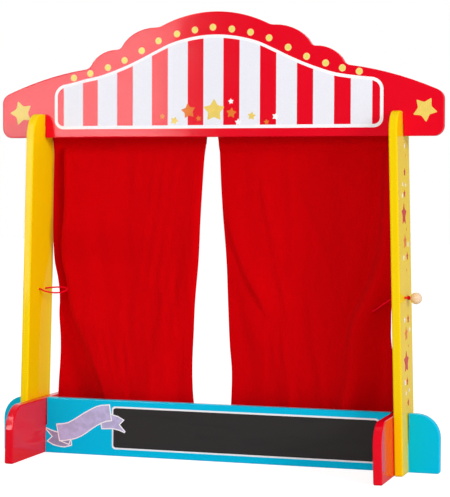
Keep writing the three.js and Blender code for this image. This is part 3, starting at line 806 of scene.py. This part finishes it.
# An edge is given as (share of the drop, how far it strays from plumb into the cloth as a share of the
# width). A fold is a smooth bank down the cloth, given as (height as a share of the fold depth, width
# towards the post, width towards the leading edge, route), with both widths as shares of the curtain's. A
# height above zero comes forward and one below falls back. The route is a list of (share of the drop,
# share of the width from the post), and a fold fades out at each end that isn't at the bottom.
CURTAINS = {
    "left": SimpleNamespace(
        side=-1, opening=19.3 * MM, travel=0.150,
        post_edge=[
            (0, 0), (0.2, -0.009), (0.34, -0.012), (0.42, -0.004), (0.48, 0.016), (0.54, 0.026),
            (0.64, 0.031), (0.76, 0.034), (0.86, 0.024), (0.93, 0.019), (1, 0.018),
        ],
        leading_edge=[
            (0, 0), (0.21, 0.028), (0.42, 0.048), (0.63, 0.066), (0.76, 0.077), (0.86, 0.073),
            (0.93, 0.062), (1, 0.058),
        ],
        folds=[
            (1.5, 0.048, 0.7, [(0, 0.094), (0.16, 0.116), (0.26, 0.13), (0.36, 0.122)]),
            (-1.7, 0.022, 0.022, [(0, 0.052), (0.16, 0.056), (0.3, 0.056), (0.4, 0.04), (0.54, 0.05)]),
            (0.85, 0.016, 0.4, [(0.25, 0.08), (0.34, 0.06), (0.42, 0.052), (0.5, 0.068)]),
            (0.9, 0.036, 0.6, [
                (0.5, 0.068), (0.547, 0.088), (0.617, 0.138), (0.687, 0.188), (0.744, 0.25), (0.8, 0.31),
                (0.865, 0.36), (1, 0.42),
            ]),
            (-1.1, 0.05, 0.032, [(0.52, 0.045), (0.58, 0.065), (0.617, 0.092), (0.687, 0.145), (0.744, 0.2)]),
            (1.0, 0.14, 0.7, [
                (0.6, 0.13), (0.687, 0.195), (0.744, 0.26), (0.8, 0.32), (0.865, 0.37), (1, 0.43),
            ]),
            (-1.0, 0.08, 0.14, [(0.66, 0.06), (0.76, 0.11), (0.88, 0.15), (1, 0.18)]),
            (0.65, 0.11, 0.04, [
                (0, 0.99), (0.12, 0.975), (0.22, 0.965), (0.36, 0.96), (0.5, 0.97), (0.6, 0.98),
            ]),
            (0.75, 0.07, 0.3, [(0.5, 0.8), (0.62, 0.785), (0.75, 0.75), (0.86, 0.72), (1, 0.7)]),
            (0.4, 0.045, 0.12, [(0.42, 0.92), (0.5, 0.91), (0.6, 0.88), (0.7, 0.87)]),
            (-0.35, 0.05, 0.05, [(0.78, 0.9), (0.88, 0.86), (1, 0.8)]),
            (0.16, 0.014, 0.04, [(0, 0.12), (0.04, 0.15), (0.08, 0.19)]),
            (0.16, 0.03, 0.014, [(0, 0.9), (0.05, 0.87), (0.1, 0.82)]),
            (0.14, 0.014, 0.014, [(0.66, 0.5), (0.78, 0.54), (0.92, 0.52)]),
        ],
        seed=3,
    ),
    "right": SimpleNamespace(
        side=1, opening=-2 * MM, travel=0.160,
        post_edge=[
            (0, 0), (0.2, -0.006), (0.34, -0.004), (0.44, 0.012), (0.54, 0.031), (0.6, 0.043),
            (0.66, 0.044), (0.72, 0.031), (0.79, 0.012), (0.87, 0.004), (1, 0.002),
        ],
        leading_edge=[
            (0, 0), (0.14, 0.01), (0.21, 0.017), (0.42, 0.044), (0.54, 0.052), (0.7, 0.064),
            (0.8, 0.077), (0.93, 0.073), (1, 0.07),
        ],
        folds=[
            (0.5, 0.09, 0.024, [
                (0.26, 0.965), (0.34, 0.94), (0.42, 0.9), (0.48, 0.857), (0.54, 0.795), (0.6, 0.745),
            ]),
            (0.45, 0.1, 0.05, [(0.44, 0.915), (0.52, 0.89), (0.6, 0.865), (0.7, 0.84)]),
            (0.22, 0.04, 0.018, [(0.12, 0.765), (0.22, 0.745), (0.3, 0.725), (0.38, 0.712)]),
            (0.22, 0.04, 0.018, [(0.44, 0.69), (0.52, 0.655), (0.6, 0.63)]),
            (0.6, 0.12, 0.24, [
                (0.1, 0.07), (0.17, 0.066), (0.26, 0.07), (0.36, 0.078), (0.45, 0.095), (0.53, 0.145),
                (0.6, 0.188), (0.68, 0.215), (0.82, 0.262), (0.9, 0.305), (1, 0.33),
            ]),
            (1.5, 0.13, 0.04, [
                (0, 0.045), (0.17, 0.05), (0.26, 0.056), (0.36, 0.06), (0.45, 0.08), (0.53, 0.13),
                (0.6, 0.175), (0.68, 0.205), (0.82, 0.255), (0.9, 0.295), (1, 0.32),
            ]),
            (-1.0, 0.03, 0.055, [
                (0.02, 0.09), (0.17, 0.1), (0.26, 0.115), (0.36, 0.135), (0.45, 0.16), (0.53, 0.2),
                (0.6, 0.24), (0.68, 0.27),
            ]),
            (-2.1, 0.075, 0.09, [(0.56, 0.0), (0.68, 0.05), (0.8, 0.08), (1, 0.13)]),
            (0.3, 0.03, 0.02, [(0.2, 0.12), (0.27, 0.135), (0.34, 0.13), (0.42, 0.16)]),
            (-0.2, 0.03, 0.03, [
                (0.18, 0.54), (0.28, 0.48), (0.36, 0.43), (0.45, 0.37), (0.55, 0.31), (0.66, 0.25),
            ]),
            (0.2, 0.03, 0.025, [(0.5, 0.5), (0.64, 0.47), (0.8, 0.45), (0.95, 0.42)]),
            (0.22, 0.03, 0.02, [(0.7, 0.66), (0.84, 0.64), (1, 0.63)]),
        ],
        seed=8,
    ),
}
# Broad waves across the cloth as (waves in the width, depth, drift down the drop, share gone at the post)
SWELLS = [(2.2, 0.2, 0.1, 0.1), (5.6, 0.08, -0.05, 0.45)]
CREASES = 22
CREASE_DEPTH_SHARE = 0.045
CREASE_WIDTH_SHARE = 0.15
CREASE_DROP_SHARE = 0.12
CREASE_WAVES = (5, 16)
CREASE_DRIFT = 0.5
CREASE_MARGIN_SHARES = (0.1, 0.84)


def fold_depths(curtain, across, down):
    """How deep the cloth lies behind the rod's line at each place, as a share of the fold depth."""
    drop = np.clip(down, 0, 1)
    swell = sum(
        depth * np.sin(2 * math.pi * (waves * (across + drift * drop) + start))
        for waves, depth, drift, start in SWELLS
    )
    folded = np.zeros_like(across)
    for depth, post_side, leading_side, route in curtain.folds:
        top, bottom = route[0][0], route[-1][0]
        fade = smoothstep(drop, top - FOLD_END_SHARE, top + FOLD_END_SHARE)
        if bottom < 1:
            fade = fade * (1 - smoothstep(drop, bottom - FOLD_END_SHARE, bottom + FOLD_END_SHARE))
        aside = across - smooth_table(route)(drop)
        folded += depth * fade * np.exp(-((aside / np.where(aside < 0, post_side, leading_side)) ** 2))
    # Small creases that wander across the cloth
    drawn = np.random.default_rng(curtain.seed)
    creased = np.zeros_like(across)
    for _ in range(CREASES):
        drift, waves = drawn.uniform(-CREASE_DRIFT, CREASE_DRIFT), drawn.uniform(*CREASE_WAVES)
        phase, middle = drawn.uniform(0, 2 * math.pi), drawn.uniform(*CREASE_MARGIN_SHARES, 2)
        aside, below = (across - middle[0]) / CREASE_WIDTH_SHARE, (drop - middle[1]) / CREASE_DROP_SHARE
        wave = np.sin(2 * math.pi * waves * (across + drift * drop) + phase)
        creased += CREASE_DEPTH_SHARE * np.exp(-(aside**2) - below**2) * wave
    growth = SWELL_AT_TOP_SHARE + (1 - SWELL_AT_TOP_SHARE) * np.sqrt(drop)
    start = smoothstep(drop, 0, FOLD_START_SHARE)
    return start * (HANG_BACK_SHARE + growth * swell - folded + creased)


def cloth_rows(thickness):
    """The cloth's way from the casing's inner end, up behind the rod, over it, down the front and round
    the bottom hem, as heights, depths beside the fold, shares of the drop and lengths of cloth gone by."""
    over = ROD_RADIUS + CASING_EASE + thickness / 2
    gap = thickness * HEM_GAP_SHARE
    drop = CASING_SEAM_Z - CURTAIN_BOTTOM_Z
    start, low = CASING_SEAM_Z - CASING_TURN, CURTAIN_BOTTOM_Z + thickness
    up = np.arange(CASING_STEPS) / CASING_STEPS
    turn = math.pi * np.arange(ROD_STEPS + 1) / ROD_STEPS
    down = np.arange(1, CASING_STEPS + 1) / CASING_STEPS
    count = round(drop / CLOTH_STEP)
    fall = np.arange(1, count + 1) / count
    under = math.pi * np.arange(1, HEM_FOLD_STEPS) / HEM_FOLD_STEPS
    hem = np.arange(HEM_STEPS + 1) / HEM_STEPS
    z, beside = (np.concatenate(parts) for parts in zip(
        (start + up * (ROD_Z - start), gap + (over - gap) * smoothstep(up, 0, 1)),
        (ROD_Z + over * np.sin(turn), over * np.cos(turn)),
        (ROD_Z - down * (ROD_Z - CASING_SEAM_Z), -over * (1 - smoothstep(down, 0, 1))),
        (CASING_SEAM_Z - fall * (CASING_SEAM_Z - low), 0 * fall),
        (low - gap / 2 * np.sin(under), gap / 2 * (1 - np.cos(under))),
        (low + hem * HEM_TURN, gap + 0 * hem),
    ))
    gone = np.concatenate([[0], np.cumsum(np.hypot(np.diff(z), np.diff(beside)))])
    return z, beside, (CASING_SEAM_Z - z) / drop, gone


def cloth_grid(curtain, finish, from_x, to_x, thickness):
    """Places of a strip of cloth between two borders, with their lengths along the weave. A border is
    given as its distance from the middle of the stage, out of the heights of the post's edge and of the
    leading edge."""
    z, beside, down, gone = (values[:, None] for values in cloth_rows(thickness))
    drop = np.clip(down, 0, 1)
    width = CURTAIN_TOP_X - curtain.opening
    post_x = CURTAIN_TOP_X - width * smooth_table(curtain.post_edge)(drop)
    leading_x = CURTAIN_TOP_X - width * (1 - smooth_table(curtain.leading_edge)(drop))
    reach = post_x - leading_x
    share_from, share_to = ((post_x - border(post_x, leading_x)) / reach for border in (from_x, to_x))
    columns = max(LEAST_COLUMNS, round(float(np.max((share_to - share_from) * reach)) / CLOTH_STEP))
    column = np.linspace(0, 1, columns + 1)[None, :]
    across = share_from + (share_to - share_from) * column
    x = curtain.side * (post_x - reach * across)
    depth = finish.fold_depth * fold_depths(curtain, across, down + 0 * across)
    # The casing puckers a little where it is sewn, at uneven distances
    from_seam = np.abs(z - CASING_SEAM_Z)
    wave = np.sin(across * 2 * math.pi * PUCKERS + 2 * np.sin(across * PUCKER_DRIFT))
    pucker = PUCKER * np.exp(-(from_seam / PUCKER_REACH)) * wave
    seam_dip = SEAM_DIP * np.exp(-((from_seam / SEAM_DIP_REACH) ** 2)) * (beside <= 0)
    y = ROD_Y + beside + depth + pucker + seam_dip
    flat = np.stack([across * width + 0 * z, gone + 0 * across], 2)
    return np.stack([x, y, z + 0 * x], 2), flat


def cloth_mesh(name, places, flat, side, thickness):
    """A closed sheet of cloth on both sides of a grid of places."""
    rows, columns = places.shape[:2]
    normal = np.cross(np.gradient(places, axis=1) * side, np.gradient(places, axis=0))
    normal /= np.maximum(np.linalg.norm(normal, axis=2, keepdims=True), 1e-12)
    count = rows * columns
    half = normal * thickness / 2
    verts = np.concatenate([(places + half).reshape(-1, 3), (places - half).reshape(-1, 3)])
    index = np.arange(count).reshape(rows, columns)
    front = np.stack([index[:-1, :-1], index[1:, :-1], index[1:, 1:], index[:-1, 1:]], 2).reshape(-1, 4)
    rim = np.concatenate([index[:, 0], index[-1, 1:], index[-2::-1, -1], index[0, -2:0:-1]])
    after = np.roll(rim, -1)
    edge = np.stack([rim, rim + count, after + count, after], 1)
    mesh = bpy.data.meshes.new(name)
    mesh.from_pydata(verts.tolist(), [], np.concatenate([front, front[:, ::-1] + count, edge]).tolist())
    lengths = np.concatenate([flat.reshape(-1, 2)] * 2)
    corner = np.empty(len(mesh.loops), np.int32)
    mesh.loops.foreach_get("vertex_index", corner)
    mesh.uv_layers.new(name="cloth").data.foreach_set("uv", lengths[corner].astype(np.float32).ravel())
    turn_out(mesh, CLOTH_SHARP_ANGLE)
    return mesh


STITCH = 2.3 * MM
STITCH_GAP = 0.8 * MM
STITCH_STEP = 0.5 * MM
STITCH_SIDES = 6
STITCH_RINGS = 5
# Shares of the thread's radius: how far a stitch humps, how deep its ends sink and how thick they are
STITCH_HUMP_SHARE = 1.1
STITCH_SUNK_SHARE = 0.5
STITCH_END_SHARE = 0.45


def stitch_mesh(name, route, radius):
    """A row of stitches: short humped threads along a route that lies on the front of the cloth."""
    line, long = spaced_line(route, STITCH_STEP)
    verts, faces, out = [], [], Vector((0, -1, 0))
    pitch = STITCH + STITCH_GAP
    for order in range(int(long / pitch)):
        faces += tube_faces(STITCH_RINGS, STITCH_SIDES, len(verts))
        for ring in range(STITCH_RINGS):
            t = ring / (STITCH_RINGS - 1)
            gone = order * pitch + STITCH_GAP / 2 + t * STITCH
            at = min(len(line) - 2, max(0, int(gone / long * (len(line) - 1))))
            point = Vector(line[at])
            sideways = (Vector(line[at + 1]) - point).normalized().cross(out).normalized()
            hump = math.sin(math.pi * t)
            centre = point + out * radius * (hump * STITCH_HUMP_SHARE - STITCH_SUNK_SHARE)
            reach = radius * (STITCH_END_SHARE + (1 - STITCH_END_SHARE) * hump)
            for side in range(STITCH_SIDES):
                angle = 2 * math.pi * side / STITCH_SIDES
                verts.append(centre + (sideways * math.cos(angle) + out * math.sin(angle)) * reach)
    return solid_mesh(name, verts, faces)


class THEATRE_OT_hang_curtains(bpy.types.Operator):
    """Hang both curtains on the rod, each with a sewn casing, a leading hem and a bottom hem"""

    bl_idname = "theatre.hang_curtains"
    bl_label = "Hang curtains"

    def execute(self, context):
        finish = context.scene.theatre_curtains
        cotton = woven_cotton("red_cotton", finish)
        # The thread is the cloth's red painted lighter, as painted light that offsets the shade on its thin
        # stitches
        thread = twisted_thread("red_thread", shaded(finish.colour, 1.25), THREAD_FIBRE)
        for name, curtain in CURTAINS.items():
            width = CURTAIN_TOP_X - curtain.opening
            # The gathers end at an upright line, so that all of the cloth beyond it moves with the hem
            taper = max(share for _, share in curtain.leading_edge)
            gathers_end = curtain.opening + width * taper + HEM_WIDTH + GATHERS_CLEAR
            thin, thick = finish.thickness, finish.thickness * HEM_THICKER
            body = f"{name}_leading_edge"

            def hang(piece, from_x, to_x, thickness, rider):
                grid, flat = cloth_grid(curtain, finish, from_x, to_x, thickness)
                mesh = cloth_mesh(f"{name}_{piece}", grid, flat, curtain.side, thickness)
                return show(f"{name}_{piece}", mesh, cotton, rider), grid, flat

            def upright(post, leading):
                return gathers_end + 0 * post

            main, cloth, flat = hang("curtain_cloth", lambda post, leading: post, upright, thin, "stand")
            edge, hem, _ = hang(
                "leading_hem", lambda post, leading: leading + HEM_WIDTH + HEM_LAP,
                lambda post, leading: leading, thick, body,
            )
            beside_hem, strip, _ = hang(
                "leading_strip", upright, lambda post, leading: leading + HEM_WIDTH + SEAM_PLAY, thin, body
            )
            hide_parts(f"{name}_curtain")
            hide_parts(f"{name}_curtain_hem")

            heights, behind = cloth[:, :, 2].mean(1), cloth[:, :, 1].mean(1) > ROD_Y + MM
            seam_row = int(np.argmin(np.abs(heights - CASING_SEAM_Z) + behind))
            hem_row = int(np.argmin(np.abs(heights[:-HEM_ROWS] - CURTAIN_BOTTOM_Z - HEM_TURN)))
            ahead = np.array([0, -thin / 2, 0])

            def sew(piece, route, radius, rider):
                mesh = stitch_mesh(f"{name}_{piece}_stitches", route, radius)
                return show(f"{name}_{piece}_stitches", mesh, thread, rider)

            gathered, carried = [], [beside_hem]
            for part, row in (("casing", seam_row), ("bottom", hem_row)):
                gathered.append(sew(part, cloth[row] + ahead, LONG_SEAM_THREAD, "stand"))
                carried.append(sew(part + "_end", strip[row] + ahead, LONG_SEAM_THREAD, body))
            down_rows = list(range(seam_row, hem_row + SEAM_ROW_STEP, SEAM_ROW_STEP))
            carried.append(sew("hem", hem[down_rows, 1] + ahead * HEM_THICKER, HEM_SEAM_THREAD, body))

            # The main cloth and its casing and bottom stitches each get a mesh of their own
            for piece in (main, *gathered):
                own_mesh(piece)
        return {"FINISHED"}


# Cords and beads

CORD_HOLE_Z = 221 * MM
FRONT_HOLE_Y = FRONT_Y - 7 * MM
REAR_HOLE_Y = FRONT_Y + 14 * MM
BEAD_Y = FRONT_Y + 8 * MM
BEAD_Z = CORD_HOLE_Z - 1.5 * MM
KNOT_X = post_outer_x(BEAD_Z) + 2.3 * MM
KNOT_LENGTH = 0.62 * MM
KNOT_TURN = 0.46 * MM
KNOT_STEPS = 72
KNOT_CORD_SHARE = 0.92
TAIL_MM = (0.4, 2, 4, 6, 8)
BEAD_BORE = 2 * MM
BEAD_BORE_END = 1.5 * MM
BEAD_LIP = 0.35 * MM
BEAD_RIM_EASE = 1.12  # the ball starts a little wider than its bore, so that the rim is eased
BEAD_STEPS = 31
BEAD_SIDES = 48
CORD_STEP = 0.35 * MM
CORD_FIBRE = 0.3 * MM
HOLE_ENTRY = 0.5 * MM
HOLE_EXIT = 1.2 * MM
# Each loop inside the stage as (reach in from the post, depth from the boards' fronts, above the holes)
LOOPS_MM = {
    "left": [
        (7.3, -4.8, -3), (14.3, -1, -4.8), (21.3, 3.2, -5.4), (27.3, 8, -4.4), (30.8, 13, -2.4),
        (29.8, 18, -0.4), (24.6, 20.4, 0.8), (17, 19.4, 1.2), (9, 16.8, 0.8),
    ],
    "right": [
        (7.3, -5, -2.6), (15.3, -1.5, -7.6), (23.5, 2.8, -13.4), (30.2, 7.8, -17.6), (34.2, 13, -19.6),
        (33.4, 18.2, -18.8), (28.6, 20.6, -15.6), (21.6, 19.8, -10.8), (14, 17.4, -6), (6.5, 15.2, -2),
    ],
}


def lathe_mesh(name, profile, sides, side, centre):
    """A turned piece whose axis runs along X, with its profile given as (radius, distance along)."""
    verts, faces, rings = [], [], []
    for radius, along in profile:
        count = 1 if radius < 1e-9 else sides
        rings.append(range(len(verts), len(verts) + count))
        for step in range(count):
            angle = 2 * math.pi * step / sides
            verts.append(centre + Vector((side * along, radius * math.cos(angle), radius * math.sin(angle))))
    for first, second in zip(rings, rings[1:]):
        for step in range(sides):
            after = (step + 1) % sides
            corners = (first[step % len(first)], first[after % len(first)],
                       second[after % len(second)], second[step % len(second)])
            faces.append(tuple(dict.fromkeys(corners)))
    return solid_mesh(name, verts, faces)


class THEATRE_OT_thread_cords(bpy.types.Operator):
    """Thread a twisted cord through each post's two holes and knot its ends at a turned bead"""

    bl_idname = "theatre.thread_cords"
    bl_label = "Thread cords and beads"

    def execute(self, context):
        finish = context.scene.theatre_cords
        fibre = twisted_thread("red_cord_fibre", finish.colour, CORD_FIBRE)
        beech = beech_wood("bead_beech", context.scene.theatre_boards.wood)
        radius = finish.diameter / 2
        inner, outer = post_inner_x(CORD_HOLE_Z), post_outer_x(CORD_HOLE_Z)
        for name, side in SIDES:
            def at(x, y, z):
                return (side * x, y, z)

            def cord(part, line, rider, radius=radius):
                mesh = rope_mesh(f"{name}_{part}", line, radius, finish.lay_length)
                return show(f"{name}_{part}", mesh, fibre, rider)

            loop = [
                at(inner - reach * MM, FRONT_Y + y * MM, CORD_HOLE_Z + above * MM)
                for reach, y, above in LOOPS_MM[name]
            ]
            ends = [
                [at(inner + HOLE_ENTRY, y, CORD_HOLE_Z), at(inner - HOLE_EXIT, y, CORD_HOLE_Z)]
                for y in (FRONT_HOLE_Y, REAR_HOLE_Y)
            ]
            line, long = spaced_line([*ends[0], *loop, *ends[1][::-1]], CORD_STEP)
            loop_piece = cord("cord_loop", line, "stand")
            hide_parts(f"{name}_tie_cord")

            strands = []
            for part, y in (("front", FRONT_HOLE_Y), ("rear", REAR_HOLE_Y)):
                towards = math.copysign(1, y - BEAD_Y)
                end_y = BEAD_Y + towards * 1.1 * MM
                route = [
                    at(inner, y, CORD_HOLE_Z), at(outer - radius, y, CORD_HOLE_Z),
                    at(outer + 0.9 * MM, y - towards * 0.1 * MM, CORD_HOLE_Z),
                    at(KNOT_X - 0.3 * MM, y - towards * 1.2 * MM, CORD_HOLE_Z),
                    at(KNOT_X + 0.1 * MM, (y + end_y) / 2, (CORD_HOLE_Z + BEAD_Z) / 2),
                    at(KNOT_X, end_y, BEAD_Z),
                ]
                strands.append(cord(f"{part}_strand", spaced_line(route, CORD_STEP)[0], None))
                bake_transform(strands[-1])

            # The knot is one tight overhand turn, with a tail that is glued into the bead
            centre = Vector(at(KNOT_X, BEAD_Y, BEAD_Z))
            knot_line = [
                centre + Vector((
                    -KNOT_LENGTH * math.sin(3 * t),
                    KNOT_TURN * (math.sin(t) + 2 * math.sin(2 * t)),
                    KNOT_TURN * (math.cos(t) - 2 * math.cos(2 * t)),
                ))
                for t in (2 * math.pi * (step % KNOT_STEPS) / KNOT_STEPS for step in range(KNOT_STEPS + 1))
            ]
            knot = cord("knot", knot_line, f"{name}_bead", radius * KNOT_CORD_SHARE)
            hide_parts(f"{name}_cord_knot")
            tail = [at(KNOT_X + along * MM, BEAD_Y, BEAD_Z) for along in TAIL_MM]
            tail_piece = cord("knot_tail", tail, f"{name}_bead")

            low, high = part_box(f"{name}_pull_bead")
            centre = (low + high) / 2
            ball = (high.z - low.z) / 2
            centre.x = side * (max(abs(low.x), abs(high.x)) - ball)
            rim = math.asin(BEAD_BORE / ball)
            start = rim * BEAD_RIM_EASE
            profile = [
                (0, BEAD_BORE_END), (BEAD_BORE, BEAD_BORE_END), (BEAD_BORE, BEAD_LIP - ball * math.cos(rim))
            ]
            for step in range(BEAD_STEPS):
                angle = start + (math.pi - start) * step / BEAD_STEPS
                profile.append((ball * math.sin(angle), -ball * math.cos(angle)))
            mesh = lathe_mesh(f"{name}_bead_ball", [*profile, (0, ball)], BEAD_SIDES, side, centre)
            bead = show(f"{name}_bead_ball", mesh, beech, f"{name}_bead")
            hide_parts(f"{name}_pull_bead")

            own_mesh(loop_piece)
        return {"FINISHED"}


# Stage and camera

CAMERA_AZIMUTH = math.radians(17.689)
CAMERA_ELEVATION = math.radians(2.188)
CAMERA_ROLL = math.radians(0.216)
CAMERA_DISTANCE = 2.194
CAMERA_TARGET = Vector((0.01565, 0.006, 0.27875))
CAMERA_SENSOR = 36
CAMERA_FOCAL = 1691.8 / 497 * CAMERA_SENSOR
FLOOR_SIZE = 16
# Light panels as (place, what they face, width, height). The last two show in the gloss alone, and leave
# the cloth's folds their contrast.
LIGHT_PANELS = {
    "main": ((0.75, -3.9, 1.5), (0, 0, 0.28), 1.3, 1.3),
    "side": ((4.02, -2.0, 1.65), (0, 0, 0.25), 1.3, 1.3),
    "left": ((-1.12, -2.1, 0.45), (0, 0, 0.32), 0.62, 0.8),
    "high": ((-1.0, -1.6, 1.62), (-1.0, 0, 0.1), 0.36, 2.0),
}
FLOOR_SHADOW = 0.42


def maths(tree, operation, first, second):
    return node(tree, "ShaderNodeMath", {0: first, 1: second}, operation=operation).outputs["Value"]


def seen_rays(tree):
    """One for camera, glossy and transmission rays, and nothing for the rest."""
    path = node(tree, "ShaderNodeLightPath").outputs
    seen = maths(tree, "MAXIMUM", path["Is Camera Ray"], path["Is Glossy Ray"])
    return maths(tree, "MAXIMUM", seen, path["Is Transmission Ray"])


def by_rays(tree, output, hidden, seen):
    """One shader for the rays that light the theatre, and another for those that see."""
    chosen = node(tree, "ShaderNodeMixShader", {0: seen_rays(tree), 1: hidden.outputs[0], 2: seen.outputs[0]})
    tree.links.new(chosen.outputs[0], tree.nodes[output].inputs["Surface"])


class THEATRE_OT_set_stage(bpy.types.Operator):
    """Lay the floor, light the theatre softly from the front and place the camera"""

    bl_idname = "theatre.set_stage"
    bl_label = "Set stage"

    def execute(self, context):
        setting, scene = context.scene.theatre_stage, context.scene
        bpy.ops.mesh.primitive_plane_add(size=FLOOR_SIZE)
        floor = context.object
        floor.name = "floor"
        paper = bpy.data.materials.new("floor_paper")
        paper.use_nodes = True
        tree = paper.node_tree
        surface = tree.nodes["Principled BSDF"]
        for key, value in (("Base Color", setting.floor), ("Roughness", 0.9), ("Specular IOR Level", 0.0)):
            surface.inputs[key].default_value = value
        # The floor glows white but for the theatre's shadow, and gloss sees it dimmer further away
        dim = node(tree, "ShaderNodeBsdfDiffuse", {"Color": (*[FLOOR_SHADOW] * 3, 1)})
        away = node(tree, "ShaderNodeVectorMath", {0: own_place(tree)}, operation="LENGTH").outputs["Value"]
        far = between(tree, away, 0.75, 1 - setting.dim, (0.5, 1.3))
        mirrored = node(tree, "ShaderNodeLightPath").outputs["Is Glossy Ray"]
        lost = maths(tree, "MULTIPLY", far, mirrored)
        strength = maths(tree, "SUBTRACT", 1 - FLOOR_SHADOW * setting.world, lost)
        glow = node(tree, "ShaderNodeEmission", {"Color": (1, 1, 1, 1), "Strength": strength})
        seen = node(tree, "ShaderNodeAddShader", {0: dim.outputs[0], 1: glow.outputs[0]})
        by_rays(tree, "Material Output", surface, seen)
        floor.data.materials.append(paper)

        world = bpy.data.worlds.new("studio")
        world.use_nodes = True
        tree = world.node_tree
        even = tree.nodes["Background"]
        even.inputs["Color"].default_value = (1, 1, 1, 1)
        room = node(tree, "ShaderNodeTexCoord").outputs["Generated"]
        towards = node(tree, "ShaderNodeSeparateXYZ", {"Vector": room}).outputs
        above = between(tree, towards["Z"], setting.world, setting.ceiling, (0.2, 0.9))
        tree.links.new(above, even.inputs["Strength"])
        # Gloss mirrors the white room behind the theatre, which is dimmer at its right side and in front
        aside = between(tree, towards["X"], 1.0, setting.dim, (-0.1, 0.15))
        ahead = between(tree, towards["Y"], setting.front, 1.0, (-0.25, 0.35))
        dimmed = maths(tree, "MINIMUM", aside, ahead)
        mirrored = node(tree, "ShaderNodeLightPath").outputs["Is Glossy Ray"]
        strength = between(tree, mirrored, 1.0, dimmed, (0.0, 1.0))
        white = node(tree, "ShaderNodeBackground", {"Color": (1, 1, 1, 1), "Strength": strength})
        by_rays(tree, "World Output", even, white)
        scene.world = world
        scene.view_settings.view_transform = "Standard"

        for name, (place, faced, width, height) in LIGHT_PANELS.items():
            lamp = bpy.data.lights.new(name + "_panel", "AREA")
            lamp.shape = "RECTANGLE"
            lamp.size, lamp.size_y = width, height
            lamp.energy = getattr(setting, name) * math.pi * width * height
            panel = bpy.data.objects.new(name + "_panel", lamp)
            panel.location = place
            panel.rotation_euler = (Vector(faced) - Vector(place)).to_track_quat("-Z", "Y").to_euler()
            panel.visible_diffuse = name in ("main", "side")
            scene.collection.objects.link(panel)

        camera = bpy.data.objects.new("camera", bpy.data.cameras.new("camera"))
        scene.collection.objects.link(camera)
        scene.camera = camera
        camera.data.sensor_width = CAMERA_SENSOR
        camera.data.lens = CAMERA_FOCAL
        camera.data.clip_end = 50
        az, el = CAMERA_AZIMUTH, CAMERA_ELEVATION
        back = Vector((math.sin(az) * math.cos(el), -math.cos(az) * math.cos(el), math.sin(el)))
        right = Vector((math.cos(az), math.sin(az), 0))
        up = right.cross(-back)
        rolled_right = right * math.cos(CAMERA_ROLL) + up * math.sin(CAMERA_ROLL)
        rolled_up = up * math.cos(CAMERA_ROLL) - right * math.sin(CAMERA_ROLL)
        turned = Matrix((rolled_right, rolled_up, back)).transposed().to_4x4()
        camera.matrix_world = Matrix.Translation(CAMERA_TARGET + back * CAMERA_DISTANCE) @ turned
        return {"FINISHED"}


# Panel and registration

OPERATORS = (
    THEATRE_OT_set_stage,
    THEATRE_OT_thread_cords,
    THEATRE_OT_paint_boards,
    THEATRE_OT_print_header,
    THEATRE_OT_print_base,
    THEATRE_OT_print_posts,
    THEATRE_OT_hang_curtains,
)
SETTINGS = {
    "theatre_boards": BoardFinish,
    "theatre_prints": PrintFinish,
    "theatre_curtains": CurtainFinish,
    "theatre_cords": CordFinish,
    "theatre_stage": StageSetting,
}


class THEATRE_PT_dressing(bpy.types.Panel):
    bl_label = "Puppet theatre"
    bl_idname = "THEATRE_PT_dressing"
    bl_space_type = "VIEW_3D"
    bl_region_type = "UI"
    bl_category = "Puppet theatre"

    def draw(self, context):
        for operator in OPERATORS:
            self.layout.operator(operator.bl_idname)
        for name, group in SETTINGS.items():
            box = self.layout.box()
            for key in group.__annotations__:
                box.prop(getattr(context.scene, name), key)


def register():
    for group in (*SETTINGS.values(), *OPERATORS, THEATRE_PT_dressing):
        bpy.utils.register_class(group)
    for name, group in SETTINGS.items():
        setattr(bpy.types.Scene, name, bpy.props.PointerProperty(type=group))


def unregister():
    for name in SETTINGS:
        delattr(bpy.types.Scene, name)
    for group in reversed((*SETTINGS.values(), *OPERATORS, THEATRE_PT_dressing)):
        bpy.utils.unregister_class(group)


def main():
    register()
    for operator in OPERATORS:
        group, name = operator.bl_idname.split(".")
        getattr(getattr(bpy.ops, group), name)()
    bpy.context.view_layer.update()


if __name__ == "__main__":
    main()
